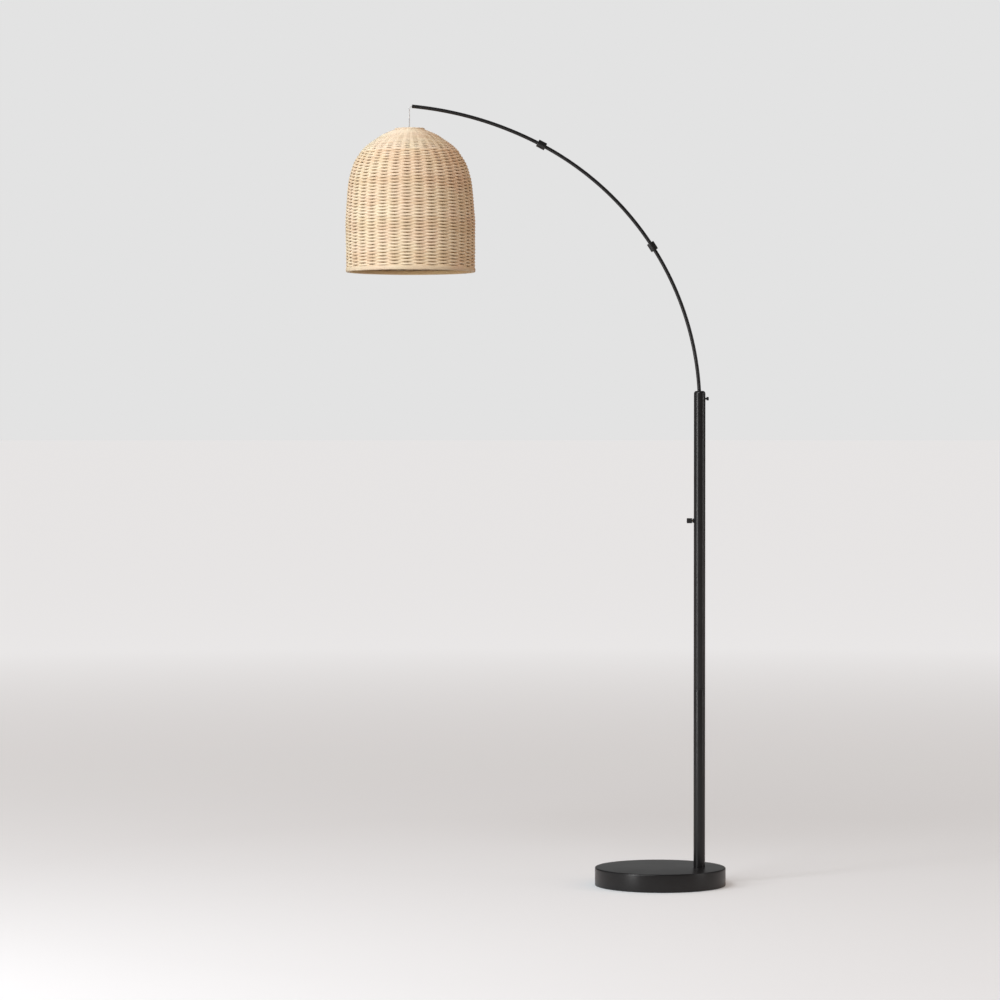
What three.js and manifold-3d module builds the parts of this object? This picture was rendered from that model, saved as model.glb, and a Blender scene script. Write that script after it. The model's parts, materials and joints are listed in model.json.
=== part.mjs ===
// Floor lamp with a bent arm and a woven bell shade that hangs from the arm's tip.
// Millimetres, +Z up. The origin is the centre of the round base, on the floor.
// The pole stands on the +X side of the base and the arm reaches over towards -X.
import * as THREE from 'three';
import { mergeVertices } from 'three/addons/utils/BufferGeometryUtils.js';
import Module from 'manifold-3d';

const wasm = await Module();
wasm.setup();

// Fits
const seatGap = 0.1; // between faces that rest or screw home on each other
const slipGap = 0.3; // around a piece that sits in its hole
const runGap = 0.35; // around a piece that turns or slides
const cutOverrun = 3; // how far a cutting shape passes the face that it cuts
const weldDistance = 0.00001; // corners closer than this are one corner

// Facets round a circle
const baseSides = 48;
const poleSides = 24;
const smallSides = 20;
const armSides = 12;
const cordSides = 8;
const hoopSides = 40;
const roundSteps = 3; // steps in a quarter round

// Base
const baseRadius = 144;
const baseHeight = 40;
const baseRound = 3;
const coverWall = 1.2;
const coverLift = 1; // the cover's edge stays this far off the floor
const padThickness = 2;
const padInset = 6;
const tieRadius = 5;
const tieBoreRadius = 3.4;
const tieFootHeight = 5;
const tieEntry = 28; // how far the tie tube reaches up into the pole
const nutSides = 6;
const nutAcross = 17;
const nutHeight = 8;
const washerRadius = 13;
const washerThickness = 2;
const recessRadius = 16;
const grommetRadius = 5.5;
const grommetFlangeRadius = 8;
const grommetFlange = 1.8;
const grommetBoreRadius = 3.4;
const grommetHeight = 12; // of its axis above the floor
const leadChannelWidth = 18;
const leadChannelHeight = 21;

// Pole
const poleOffset = 86; // of the pole's axis from the base's
const poleRadius = 12.7;
const poleWall = 1.5;
const poleTop = 1089; // top of the cap above the floor
const poleSeam = 432; // height at which the two tubes meet
const capHeight = 8;
const capRound = 5;
const capPlugDepth = 21; // of the cap's plug inside the tube
const footPlugHeight = 24;
const couplerLength = 60;
const couplerWall = 3;

// Rotary switch
const switchDrop = 285.5; // of its axis below the pole's top
const switchLengthShare = 0.67; // of the pole's bore
const switchWidthShare = 0.58; // of the pole's bore
const switchDepth = 20;
const switchNeckRadius = 3.6;
const spindleRadius = 2;
const switchNutRadius = 5;
const switchNutThickness = 2.4;
const switchKnobRadius = 5.6;
const switchKnobLength = 11.6;
const switchKnobRound = 0.8;
const switchKnobStand = 1.1; // of the knob off its nut
const knobSocketDepth = 8;

// Thumb screw
const screwDrop = 17; // of its axis below the pole's top
const screwShankRadius = 2;
const screwHeadRadius = 3.9;
const screwHeadLength = 4.8;
const screwHeadRound = 0.6;
const screwHeadStand = 2.4; // of the head off the pole's side
const screwPadRadius = 1.9;
const screwPadThickness = 1.2;
const screwPadGap = 0.6; // between the pad and the arm's stem when the screw is slack

// Arm: a straight stem in the pole, then three bent sections
const armRadius = 4;
const armWall = 0.9;
const bendDrop = 36; // of the stem's straight end below the pole's top
const lowerBendRadius = 651;
const lowerBendAngle = 32.85; // degrees
const middleBendRadius = 651;
const middleBendAngle = 29.4; // degrees
const upperBendRadius = 766;
const upperBendAngle = 22.3; // degrees
const armStep = 24; // length of one straight facet along a bend
const ferruleWall = 2;
const ferruleSetBack = 0.9;
const collarWall = 1.8;
const collarLength = 19.4;
const collarChamfer = 0.8;
const stemStand = 14.5; // of the stem's foot above the switch
const clipRadius = 7.5;
const clipThickness = 2;
const clipStand = 1; // of the clip above the stem's foot
const stemBushHeight = 14;
const guideBushHeight = 25;
const guideBushDrop = 56.9; // of the bush's top below the pole's top
const tipPlugDepth = 8;
const tipLip = 0.6;
const tipLipOverhang = 0.2; // of the lip past the tube

// Pendant cord, from the arm's tip down to the shade. Its route is measured from the tip
const cordRadius = 1.3;
const cordRoute = [
  [-1, 0, 0.1],
  [-2.4, 0, 0.04],
  [-3.77, 0, -0.4],
  [-4.97, 0, -1.21],
  [-5.9, 0, -2.32],
  [-6.49, 0, -3.64],
  [-6.7, 0, -5.08],
  [-6.7, 0, -9],
  [-6.7, 0, -13.5],
  [-6.7, 0, -18],
  [-6.7, 0, -22.5],
  [-6.7, 0, -27],
  [-6.7, 0, -31.5],
  [-6.7, 0, -36],
  [-6.7, 0, -41],
  [-6.7, 0, -46],
  [-6.7, 0, -49.06],
];
const cordSteps = 20;

// Shade
const bellHeight = 316;
const bellRadius = 143;
const bellWall = 5;
const ribCount = 32; // stakes that stand out from the weave
const ribDepth = 2.2; // of the valleys between the stakes
const ribTurn = -1.6; // degrees from the front to the nearest stake, towards +X
const ribFadeShare = 0.3; // of the bell's height, over which the ribs run out at the crown
const crownRadius = 32; // of the flat crown
const crownHoleRadius = 20;
const hoopHeight = 6;
const hoopThickness = 6;
const hoopCorner = 1.5;
const bellSteps = 14;
// The outline from the rim to the crown: heights as shares of the way up the bell, and radii as
// shares of the way out from the crown's radius to the bell's
const bellHeightShares = [
  0, 0.19, 0.35, 0.47, 0.565, 0.64, 0.705, 0.76, 0.808, 0.85, 0.888, 0.922, 0.95, 0.972, 0.99,
];
const bellRadiusShares = [
  0.991, 0.998, 1, 0.977, 0.956, 0.925, 0.876, 0.818, 0.737, 0.65, 0.533, 0.396, 0.278, 0.15, 0.022,
];

// Lampholder and lamp
const fitterInset = 3; // of the plate's edge inside the crown's
const fitterThickness = 1.5;
const gripThreadRadius = 5;
const gripThreadLength = 10;
const gripHeadRadius = 7.5;
const gripHeadHeight = 2.4;
const gripNoseRadius = 3.6;
const gripNoseHeight = 1.5;
const holderCapHeight = 18.5;
const holderCapRound = 11;
const holderCapWall = 1.8;
const holderFloor = 4;
const holderWall = 4.9;
const contactRadius = 3.5;
const contactHeight = 2.5;
const lampCapRadius = 13.2;
const lampCapSlack = 0.5; // around the lamp's cap in its holder
const lampCapLength = 25;
const lampTipRadius = 4.5;
const lampTipHeight = 3;
const lampCollarHeight = 22;
const lampCollarRadius = 22;
const globeRadius = 30;
const globeWall = 1.6;
const globeStandShare = 0.62; // of the globe's radius, from the collar to the globe's centre
const globeSteps = 7;

// Finishes
const blackEnamel = { color: 0x2b2b2d, roughness: 0.32, metalness: 0.55 };
const blackPlastic = { color: 0x1c1c1d, roughness: 0.5, metalness: 0 };
const brightSteel = { color: 0xb9bcc0, roughness: 0.35, metalness: 1 };
const brass = { color: 0xc9a95a, roughness: 0.35, metalness: 1 };
const nylon = { color: 0xe8e6de, roughness: 0.6, metalness: 0 };
const castWeight = { color: 0x8c8a85, roughness: 0.9, metalness: 0 };
const felt = { color: 0x26262a, roughness: 0.95, metalness: 0 };
const palePvc = { color: 0xc9cacb, roughness: 0.45, metalness: 0 };
const rattan = { color: 0xd9bd8e, roughness: 0.7, metalness: 0 };
const opal = { color: 0xf4f1ea, roughness: 0.4, metalness: 0 };

// Sizes worked out from the ones above
const toRadians = Math.PI / 180;
const poleBore = poleRadius - poleWall;
const coverTop = baseHeight - coverWall;
const weightTop = coverTop - seatGap;
const weightFoot = padThickness + seatGap;
const washerLow = tieFootHeight + nutHeight + seatGap * 2;
const recessTop = washerLow + washerThickness + seatGap;
const tubeTop = poleTop - capHeight;
const tieTop = baseHeight + tieEntry;
const switchHeight = poleTop - switchDrop;
const switchLength = poleBore * 2 * switchLengthShare;
const switchWidth = poleBore * 2 * switchWidthShare;
const screwHeight = poleTop - screwDrop;
const bendShift = lowerBendRadius - Math.sqrt(lowerBendRadius ** 2 - bendDrop ** 2);
const capBore = armRadius + bendShift + runGap;
const stemFootHeight = switchHeight + switchDepth / 2 + stemStand;
const clipLow = stemFootHeight + clipStand;
const stemBushLow = clipLow + clipThickness + seatGap;
const guideBushLow = poleTop - guideBushDrop - guideBushHeight;
const tubeHole = armRadius + slipGap;
const ferruleRadius = tubeHole + ferruleWall;
const ferruleHole = ferruleRadius + slipGap;
const collarRadius = ferruleHole + collarWall;

const armRuns = [
  { length: poleTop - bendDrop - stemFootHeight },
  { radius: lowerBendRadius, length: lowerBendRadius * lowerBendAngle * toRadians },
  { radius: middleBendRadius, length: middleBendRadius * middleBendAngle * toRadians },
  { radius: upperBendRadius, length: upperBendRadius * upperBendAngle * toRadians },
];
const lowerCollarAt = armRuns[0].length + armRuns[1].length;
const upperCollarAt = lowerCollarAt + armRuns[2].length;
const armTipAt = upperCollarAt + armRuns[3].length;
const armTip = armStation(armTipAt);

const cordPoints = cordRoute.map(([x, y, z]) => new THREE.Vector3(armTip.x + x, y, armTip.z + z));
const cordEnd = cordPoints[cordPoints.length - 1];
const pendantOffset = cordEnd.x; // of the shade's axis from the base's
const gripTop = cordEnd.z - slipGap;
const gripHeadLow = gripTop - gripNoseHeight - gripHeadHeight;
const fitterTop = gripHeadLow - seatGap;
const bellTop = gripHeadLow + bellWall;
const bellRim = bellTop - bellHeight;
const bellFoot = bellRim + hoopHeight + seatGap;
const holderBoreRadius = lampCapRadius + lampCapSlack;
const holderRadius = holderBoreRadius + holderWall;
const holderCapTop = fitterTop - fitterThickness - seatGap;
const holderTop = holderCapTop - holderCapHeight - seatGap;
const contactTop = holderTop - holderFloor - seatGap;
const lampTop = contactTop - contactHeight - seatGap;
const lampShoulder = lampTop - lampTipHeight;
const collarTop = lampShoulder - lampCapLength - seatGap;
const collarFoot = collarTop - lampCollarHeight;
const holderFoot = collarTop + slipGap;

// The place at a distance along the arm from the stem's foot, and the arm's lean from upright there
function armStation(distance) {
  const station = { x: poleOffset, z: stemFootHeight, lean: 0 };
  let left = distance;
  for (const run of armRuns) {
    const isLast = run === armRuns[armRuns.length - 1];
    const step = isLast ? left : Math.min(left, run.length);
    if (run.radius) {
      const next = station.lean + step / run.radius;
      station.x -= run.radius * (Math.cos(station.lean) - Math.cos(next));
      station.z += run.radius * (Math.sin(next) - Math.sin(station.lean));
      station.lean = next;
    } else {
      station.z += step;
    }
    left -= step;
  }
  return station;
}

class ArmPath extends THREE.Curve {
  constructor(from, to) {
    super();
    this.from = from;
    this.to = to;
  }

  getPoint(share, target = new THREE.Vector3()) {
    const station = armStation(this.from + (this.to - this.from) * share);
    return target.set(station.x, 0, station.z);
  }
}

// Outlines are lists of [radius, height], anticlockwise
function roundCorner(centreRadius, centreHeight, radius, fromDegrees, toDegrees) {
  const points = [];
  for (let step = 0; step <= roundSteps; step += 1) {
    const angle = (fromDegrees + ((toDegrees - fromDegrees) * step) / roundSteps) * toRadians;
    points.push([centreRadius + radius * Math.cos(angle), centreHeight + radius * Math.sin(angle)]);
  }
  return points;
}

function rodOutline(radius, low, high) {
  return [[0, low], [radius, low], [radius, high], [0, high]];
}

function ringOutline(inner, outer, low, high) {
  return [[inner, low], [outer, low], [outer, high], [inner, high], [inner, low]];
}

function turned(outline, sides) {
  const points = outline.map(([radius, height]) => new THREE.Vector2(radius, height));
  const geometry = new THREE.LatheGeometry(points, sides);
  geometry.rotateX(Math.PI / 2);
  return geometry;
}

// A turned shape whose axis lies along X instead of Z, with its high end towards +X
function turnedAlongX(outline, sides) {
  const geometry = turned(outline, sides);
  geometry.rotateY(Math.PI / 2);
  return geometry;
}

// A turned shape whose axis lies along Y, with its high end towards +Y
function turnedAlongY(outline, sides) {
  const geometry = turned(outline, sides);
  geometry.rotateX(-Math.PI / 2);
  return geometry;
}

function toSolid(geometry) {
  const bare = geometry.clone();
  bare.deleteAttribute('normal');
  bare.deleteAttribute('uv');
  const welded = mergeVertices(bare, weldDistance);
  const corners = Array.from(welded.index.array);
  const kept = [];
  for (let at = 0; at < corners.length; at += 3) {
    const [a, b, c] = corners.slice(at, at + 3);
    if (a !== b && b !== c && c !== a) {
      kept.push(a, b, c);
    }
  }
  const mesh = new wasm.Mesh({
    numProp: 3,
    vertProperties: welded.getAttribute('position').array,
    triVerts: new Uint32Array(kept),
  });
  return new wasm.Manifold(mesh);
}

function toGeometry(solid) {
  const mesh = solid.getMesh();
  const geometry = new THREE.BufferGeometry();
  geometry.setAttribute('position', new THREE.BufferAttribute(mesh.vertProperties, 3));
  geometry.setIndex(new THREE.BufferAttribute(mesh.triVerts, 1));
  geometry.computeVertexNormals();
  return geometry;
}

function cut(body, ...tools) {
  return toGeometry(tools.reduce((solid, tool) => solid.subtract(toSolid(tool)), toSolid(body)));
}

function joined(body, ...others) {
  return toGeometry(others.reduce((solid, other) => solid.add(toSolid(other)), toSolid(body)));
}

const lamp = new THREE.Group();

function addPiece(name, geometry, finish, place = [0, 0, 0], tilt = 0) {
  const mesh = new THREE.Mesh(geometry, new THREE.MeshStandardMaterial(finish));
  mesh.name = name;
  mesh.position.set(...place);
  mesh.rotation.y = tilt;
  lamp.add(mesh);
}

// Base: pad, weight, cover and what clamps the pole to them
function hexNut(across, thickness, boreRadius) {
  const corner = across / 2 / Math.cos(Math.PI / nutSides);
  const shape = new THREE.Shape();
  for (let side = 0; side < nutSides; side += 1) {
    const angle = (side * Math.PI * 2) / nutSides;
    const move = side === 0 ? 'moveTo' : 'lineTo';
    shape[move](corner * Math.cos(angle), corner * Math.sin(angle));
  }
  shape.closePath();
  const bore = new THREE.Path();
  bore.absarc(0, 0, boreRadius, 0, Math.PI * 2, true);
  shape.holes.push(bore);
  const curveSegments = smallSides / 2;
  return new THREE.ExtrudeGeometry(shape, { depth: thickness, bevelEnabled: false, curveSegments });
}

function leadChannel() {
  const grommetEnd = new THREE.Vector2(0, baseRadius);
  const tieEnd = new THREE.Vector2(poleOffset, 0);
  const run = grommetEnd.clone().sub(tieEnd);
  const height = leadChannelHeight - weightFoot + cutOverrun;
  const channel = new THREE.BoxGeometry(run.length(), leadChannelWidth, height);
  channel.rotateZ(Math.atan2(run.y, run.x));
  channel.translate(
    (grommetEnd.x + tieEnd.x) / 2,
    (grommetEnd.y + tieEnd.y) / 2,
    leadChannelHeight - height / 2,
  );
  return channel;
}

function addBase() {
  addPiece('floor_pad', turned(rodOutline(baseRadius - padInset, 0, padThickness), baseSides), felt);

  const innerRadius = baseRadius - coverWall;
  const innerRound = baseRound - coverWall;
  const cover = turned([
    [0, coverTop],
    ...roundCorner(innerRadius - innerRound, coverTop - innerRound, innerRound, 90, 0),
    [innerRadius, coverLift],
    [baseRadius, coverLift],
    ...roundCorner(baseRadius - baseRound, baseHeight - baseRound, baseRound, 0, 90),
    [0, baseHeight],
  ], baseSides);
  const tieHole = turned(rodOutline(tieRadius + slipGap, 0, baseHeight + cutOverrun), smallSides);
  tieHole.translate(poleOffset, 0, 0);
  const grommetHole = turnedAlongY(
    rodOutline(grommetRadius + slipGap, innerRadius - cutOverrun, baseRadius + cutOverrun), smallSides);
  grommetHole.translate(0, 0, grommetHeight);
  addPiece('base_cover', cut(cover, tieHole, grommetHole), blackEnamel);

  const weightRadius = innerRadius - slipGap;
  const weight = turned([
    [0, weightFoot],
    [weightRadius, weightFoot],
    ...roundCorner(weightRadius - innerRound, weightTop - innerRound, innerRound, 0, 90),
    [0, weightTop],
  ], baseSides);
  const recess = turned(rodOutline(recessRadius, 0, recessTop), smallSides);
  recess.translate(poleOffset, 0, 0);
  const neckEnd = innerRadius - grommetFlange - seatGap * 2;
  const lipEnd = neckEnd - grommetFlange;
  const lipRadius = grommetRadius + grommetFlange;
  const grommetPocket = turnedAlongY(
    rodOutline(lipRadius + slipGap, lipEnd - slipGap, baseRadius), smallSides);
  grommetPocket.translate(0, 0, grommetHeight);
  addPiece('base_weight', cut(weight, tieHole, recess, leadChannel(), grommetPocket), castWeight);

  const nutPlace = [poleOffset, 0, tieFootHeight + seatGap];
  addPiece('base_nut', hexNut(nutAcross, nutHeight, tieRadius + slipGap), brightSteel, nutPlace);
  const washer = ringOutline(tieRadius + slipGap, washerRadius, washerLow, washerLow + washerThickness);
  addPiece('base_washer', turned(washer, smallSides), brightSteel, [poleOffset, 0, 0]);
  const tie = ringOutline(tieBoreRadius, tieRadius, tieFootHeight, tieTop);
  addPiece('base_tie_tube', turned(tie, smallSides), brightSteel, [poleOffset, 0, 0]);

  const flangeFace = baseRadius + seatGap;
  const grommet = turnedAlongY([
    [grommetBoreRadius, lipEnd],
    [lipRadius, lipEnd],
    [lipRadius, neckEnd],
    [grommetRadius, neckEnd],
    [grommetRadius, flangeFace],
    [grommetFlangeRadius, flangeFace],
    [grommetFlangeRadius, flangeFace + grommetFlange],
    [grommetBoreRadius, flangeFace + grommetFlange],
    [grommetBoreRadius, lipEnd],
  ], smallSides);
  addPiece('lead_grommet', grommet, blackPlastic, [0, 0, grommetHeight]);
}

// Pole: two tubes on a coupler, a foot plug, a cap and the guide bush of the arm's stem
function radialHole(radius, from, to, height) {
  const hole = turnedAlongX(rodOutline(radius, from, to), smallSides);
  hole.translate(0, 0, height);
  return hole;
}

function addPole() {
  const onPole = [poleOffset, 0, 0];
  const plug = ringOutline(
    tieRadius + slipGap, poleBore - slipGap, baseHeight + seatGap, baseHeight + seatGap + footPlugHeight);
  addPiece('pole_foot_plug', turned(plug, poleSides), brightSteel, onPole);

  const lower = ringOutline(poleBore, poleRadius, baseHeight + seatGap, poleSeam - seatGap / 2);
  addPiece('lower_pole', turned(lower, poleSides), blackEnamel, onPole);
  const couplerOuter = poleBore - slipGap;
  const coupler = ringOutline(
    couplerOuter - couplerWall, couplerOuter, poleSeam - couplerLength / 2, poleSeam + couplerLength / 2);
  addPiece('pole_coupler', turned(coupler, poleSides), brightSteel, onPole);

  const screwHole = radialHole(
    screwShankRadius + slipGap, armRadius, poleRadius + cutOverrun, screwHeight);
  const neckHole = radialHole(
    switchNeckRadius + slipGap, -poleRadius - cutOverrun, -armRadius, switchHeight);
  const upper = turned(ringOutline(poleBore, poleRadius, poleSeam + seatGap / 2, tubeTop), poleSides);
  addPiece('upper_pole', cut(upper, screwHole, neckHole), blackEnamel, onPole);

  const plugRadius = poleBore - slipGap;
  const cap = turned([
    [capBore, tubeTop - capPlugDepth],
    [plugRadius, tubeTop - capPlugDepth],
    [plugRadius, tubeTop + seatGap],
    [poleRadius, tubeTop + seatGap],
    ...roundCorner(poleRadius - capRound, poleTop - capRound, capRound, 0, 90),
    [capBore, poleTop],
    [capBore, tubeTop - capPlugDepth],
  ], poleSides);
  addPiece('pole_cap', cut(cap, screwHole), blackEnamel, onPole);

  const bush = ringOutline(
    armRadius + runGap, poleBore - slipGap, guideBushLow, guideBushLow + guideBushHeight);
  addPiece('guide_bush', turned(bush, poleSides), nylon, onPole);
}

// Rotary switch: a body in the pole, a neck through its wall, a ring nut, a spindle and a knob
function addSwitch() {
  const place = [poleOffset, 0, switchHeight];
  const nutInner = -poleRadius - slipGap;
  const nutOuter = nutInner - switchNutThickness;
  const knobInner = nutOuter - switchKnobStand;
  const knobOuter = knobInner - switchKnobLength;
  const casing = new THREE.BoxGeometry(switchLength, switchWidth, switchDepth);
  const neck = turnedAlongX(rodOutline(switchNeckRadius, nutOuter - seatGap, 0), smallSides);
  const spindleHole = turnedAlongX(
    rodOutline(spindleRadius + runGap, nutOuter - cutOverrun, 0), smallSides);
  addPiece('switch_body', cut(joined(casing, neck), spindleHole), blackPlastic, place);

  const nut = ringOutline(switchNeckRadius + slipGap, switchNutRadius, nutOuter, nutInner);
  addPiece('switch_nut', turnedAlongX(nut, smallSides), brightSteel, place);

  const knobEdge = switchKnobRadius - switchKnobRound;
  const socketEnd = knobInner - knobSocketDepth;
  const spindle = rodOutline(spindleRadius, socketEnd + seatGap, -runGap);
  addPiece('switch_spindle', turnedAlongX(spindle, smallSides), brass, place);
  const knob = [
    [0, knobOuter],
    ...roundCorner(knobEdge, knobOuter + switchKnobRound, switchKnobRound, -90, 0),
    [switchKnobRadius, knobInner],
    [spindleRadius + slipGap, knobInner],
    [spindleRadius + slipGap, socketEnd],
    [0, socketEnd],
  ];
  addPiece('switch_knob', turnedAlongX(knob, smallSides), blackPlastic, place);
}

// Thumb screw, with the loose pad that it presses against the arm's stem
function addThumbScrew() {
  const place = [poleOffset, 0, screwHeight];
  const padInner = armRadius + screwPadGap;
  const padOuter = padInner + screwPadThickness;
  const pad = rodOutline(screwPadRadius, padInner, padOuter);
  addPiece('screw_pad', turnedAlongX(pad, smallSides), brass, place);
  const headInner = poleRadius + screwHeadStand;
  const headOuter = headInner + screwHeadLength;
  const edge = screwHeadRadius - screwHeadRound;
  const screw = [
    [0, padOuter + seatGap],
    [screwShankRadius, padOuter + seatGap],
    [screwShankRadius, headInner],
    ...roundCorner(edge, headInner + screwHeadRound, screwHeadRound, -90, 0),
    ...roundCorner(edge, headOuter - screwHeadRound, screwHeadRound, 0, 90),
    [0, headOuter],
  ];
  addPiece('thumb_screw', turnedAlongX(screw, smallSides), blackEnamel, place);
}

// Arm: three tubes joined by collars, with a sliding bush and its clip on the stem's foot
function circle(radius) {
  const shape = new THREE.Shape();
  shape.absarc(0, 0, radius, 0, Math.PI * 2, false);
  return shape;
}

// An extruded circle gets two sides for each of its curve segments
function sweep(shape, path, steps, sides) {
  return new THREE.ExtrudeGeometry(shape, { extrudePath: path, steps, curveSegments: sides / 2 });
}

function armTube(from, to) {
  const steps = Math.round((to - from) / armStep);
  const ring = circle(armRadius);
  const bore = new THREE.Path();
  bore.absarc(0, 0, armRadius - armWall, 0, Math.PI * 2, true);
  ring.holes.push(bore);
  return sweep(ring, new ArmPath(from, to), steps, armSides);
}

function addCollar(name, ferruleName, distance) {
  const station = armStation(distance);
  const place = [station.x, 0, station.z];
  const half = collarLength / 2;
  const collar = [
    [tubeHole, -half],
    [collarRadius - collarChamfer, -half],
    [collarRadius, collarChamfer - half],
    [collarRadius, half - collarChamfer],
    [collarRadius - collarChamfer, half],
    [ferruleHole, half],
    [ferruleHole, 0],
    [tubeHole, 0],
    [tubeHole, -half],
  ];
  addPiece(name, turned(collar, smallSides), blackEnamel, place, -station.lean);
  const ferrule = ringOutline(tubeHole, ferruleRadius, slipGap, half - ferruleSetBack);
  addPiece(ferruleName, turned(ferrule, smallSides), brightSteel, place, -station.lean);
}

function addArm() {
  const onPole = [poleOffset, 0, 0];
  const clip = ringOutline(tubeHole, clipRadius, clipLow, clipLow + clipThickness);
  addPiece('stem_clip', turned(clip, smallSides), brightSteel, onPole);
  const stemBush = ringOutline(
    armRadius + runGap, poleBore - runGap, stemBushLow, stemBushLow + stemBushHeight);
  addPiece('stem_bush', turned(stemBush, poleSides), nylon, onPole);

  addPiece('lower_arm', armTube(0, lowerCollarAt - slipGap), blackEnamel);
  addPiece('middle_arm', armTube(lowerCollarAt + slipGap, upperCollarAt - slipGap), blackEnamel);
  addPiece('upper_arm', armTube(upperCollarAt + slipGap, armTipAt), blackEnamel);
  addCollar('lower_collar', 'lower_ferrule', lowerCollarAt);
  addCollar('upper_collar', 'upper_ferrule', upperCollarAt);

  const tipPlugRadius = armRadius - armWall - runGap;
  const tipLipRadius = armRadius + tipLipOverhang;
  const bush = [
    [cordRadius + slipGap, -tipPlugDepth],
    [tipPlugRadius, -tipPlugDepth],
    [tipPlugRadius, seatGap],
    [tipLipRadius, seatGap],
    [tipLipRadius, seatGap + tipLip],
    [cordRadius + slipGap, seatGap + tipLip],
    [cordRadius + slipGap, -tipPlugDepth],
  ];
  addPiece('tip_bush', turned(bush, smallSides), blackPlastic, [armTip.x, 0, armTip.z], -armTip.lean);

  const cablePath = new ArmPath(0, armTipAt + tipLip);
  const cableSteps = Math.round(armTipAt / armStep);
  addPiece('arm_cable', sweep(circle(cordRadius), cablePath, cableSteps, cordSides), palePvc);
}

function addPendantCord() {
  const path = new THREE.CatmullRomCurve3(cordPoints);
  addPiece('pendant_cord', sweep(circle(cordRadius), path, cordSteps, cordSides), palePvc);
}

// Shade: a bell that is open below, with a hole in its flat crown
function bellOutline() {
  const route = bellHeightShares.map((share, index) => {
    const radius = crownRadius + (bellRadius - crownRadius) * bellRadiusShares[index];
    return new THREE.Vector2(radius, bellFoot + (bellTop - bellFoot) * share);
  });
  const outer = new THREE.SplineCurve(route).getSpacedPoints(bellSteps);
  const inner = outer.map((point, index) => {
    const before = outer[Math.max(index - 1, 0)];
    const after = outer[Math.min(index + 1, outer.length - 1)];
    const along = after.clone().sub(before).normalize();
    return new THREE.Vector2(point.x - along.y * bellWall, point.y + along.x * bellWall);
  });
  inner[0].y = outer[0].y;
  const crownFoot = bellTop - bellWall;
  return { outer, inner: inner.filter((point) => point.y < crownFoot && point.x > crownRadius) };
}

// Every second column of the bell's outer wall moves in, so that a rib stands over each stake
function ribbed(outline, outerRows) {
  const geometry = turned(outline, ribCount * 2);
  const position = geometry.getAttribute('position');
  const corner = new THREE.Vector3();
  for (let at = 0; at < position.count; at += 1) {
    const column = Math.floor(at / outline.length);
    const row = (at % outline.length) % (outline.length - 1);
    if (column % 2 === 1 && row < outerRows) {
      corner.fromBufferAttribute(position, at);
      const up = (corner.z - bellFoot) / (bellTop - bellFoot);
      const depth = ribDepth * Math.min(1, (1 - up) / ribFadeShare);
      const share = 1 - depth / Math.hypot(corner.x, corner.y);
      position.setXYZ(at, corner.x * share, corner.y * share, corner.z);
    }
  }
  geometry.rotateZ(ribTurn * toRadians);
  return geometry;
}

function addShade() {
  const onAxis = [pendantOffset, 0, 0];
  const { outer, inner } = bellOutline();
  const bell = [
    ...outer.map((point) => [point.x, point.y]),
    [crownRadius, bellTop],
    [crownHoleRadius, bellTop],
    [crownHoleRadius, bellTop - bellWall],
    [crownRadius, bellTop - bellWall],
    ...inner.reverse().map((point) => [point.x, point.y]),
    [outer[0].x, outer[0].y],
  ];
  addPiece('shade', ribbed(bell, outer.length), rattan, onAxis);

  const hoopOuter = outer[0].x;
  const hoop = [
    [hoopOuter - hoopThickness, bellRim],
    [hoopOuter - hoopCorner, bellRim],
    [hoopOuter, bellRim + hoopCorner],
    [hoopOuter, bellRim + hoopHeight],
    [hoopOuter - hoopThickness, bellRim + hoopHeight],
    [hoopOuter - hoopThickness, bellRim],
  ];
  addPiece('rim_hoop', turned(hoop, hoopSides), rattan, onAxis);
}

// Lampholder: it clamps the plate that carries the shade, and holds the lamp
function addLampholder() {
  const onAxis = [pendantOffset, 0, 0];
  const threadHole = gripThreadRadius + slipGap;
  const plate = ringOutline(
    threadHole, crownRadius - fitterInset, fitterTop - fitterThickness, fitterTop);
  addPiece('fitter_plate', turned(plate, poleSides), brightSteel, onAxis);

  const cordHole = cordRadius + slipGap;
  const headTop = gripHeadLow + gripHeadHeight;
  const grip = [
    [cordHole, gripHeadLow - gripThreadLength],
    [gripThreadRadius, gripHeadLow - gripThreadLength],
    [gripThreadRadius, gripHeadLow],
    [gripHeadRadius, gripHeadLow],
    [gripHeadRadius, headTop],
    [gripNoseRadius, headTop],
    [gripNoseRadius, gripTop],
    [cordHole, gripTop],
    [cordHole, gripHeadLow - gripThreadLength],
  ];
  addPiece('cord_grip', turned(grip, smallSides), nylon, onAxis);

  const capFoot = holderCapTop - holderCapHeight;
  const domeHeight = holderCapTop - holderCapRound;
  const innerRound = holderCapRound - holderCapWall;
  const capInner = holderRadius - holderCapWall;
  const cap = [
    [capInner, capFoot],
    [holderRadius, capFoot],
    ...roundCorner(holderRadius - holderCapRound, domeHeight, holderCapRound, 0, 90),
    [threadHole, holderCapTop],
    [threadHole, holderCapTop - holderCapWall],
    ...roundCorner(holderRadius - holderCapRound, domeHeight, innerRound, 90, 0),
    [capInner, capFoot],
  ];
  addPiece('holder_cap', turned(cap, smallSides), blackPlastic, onAxis);

  const holder = [
    [0, holderTop - holderFloor],
    [holderBoreRadius, holderTop - holderFloor],
    [holderBoreRadius, holderFoot],
    [holderRadius, holderFoot],
    [holderRadius, holderTop],
    [0, holderTop],
  ];
  addPiece('lampholder', turned(holder, poleSides), blackPlastic, onAxis);
  const contact = rodOutline(contactRadius, contactTop - contactHeight, contactTop);
  addPiece('centre_contact', turned(contact, smallSides), brass, onAxis);
}

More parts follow.
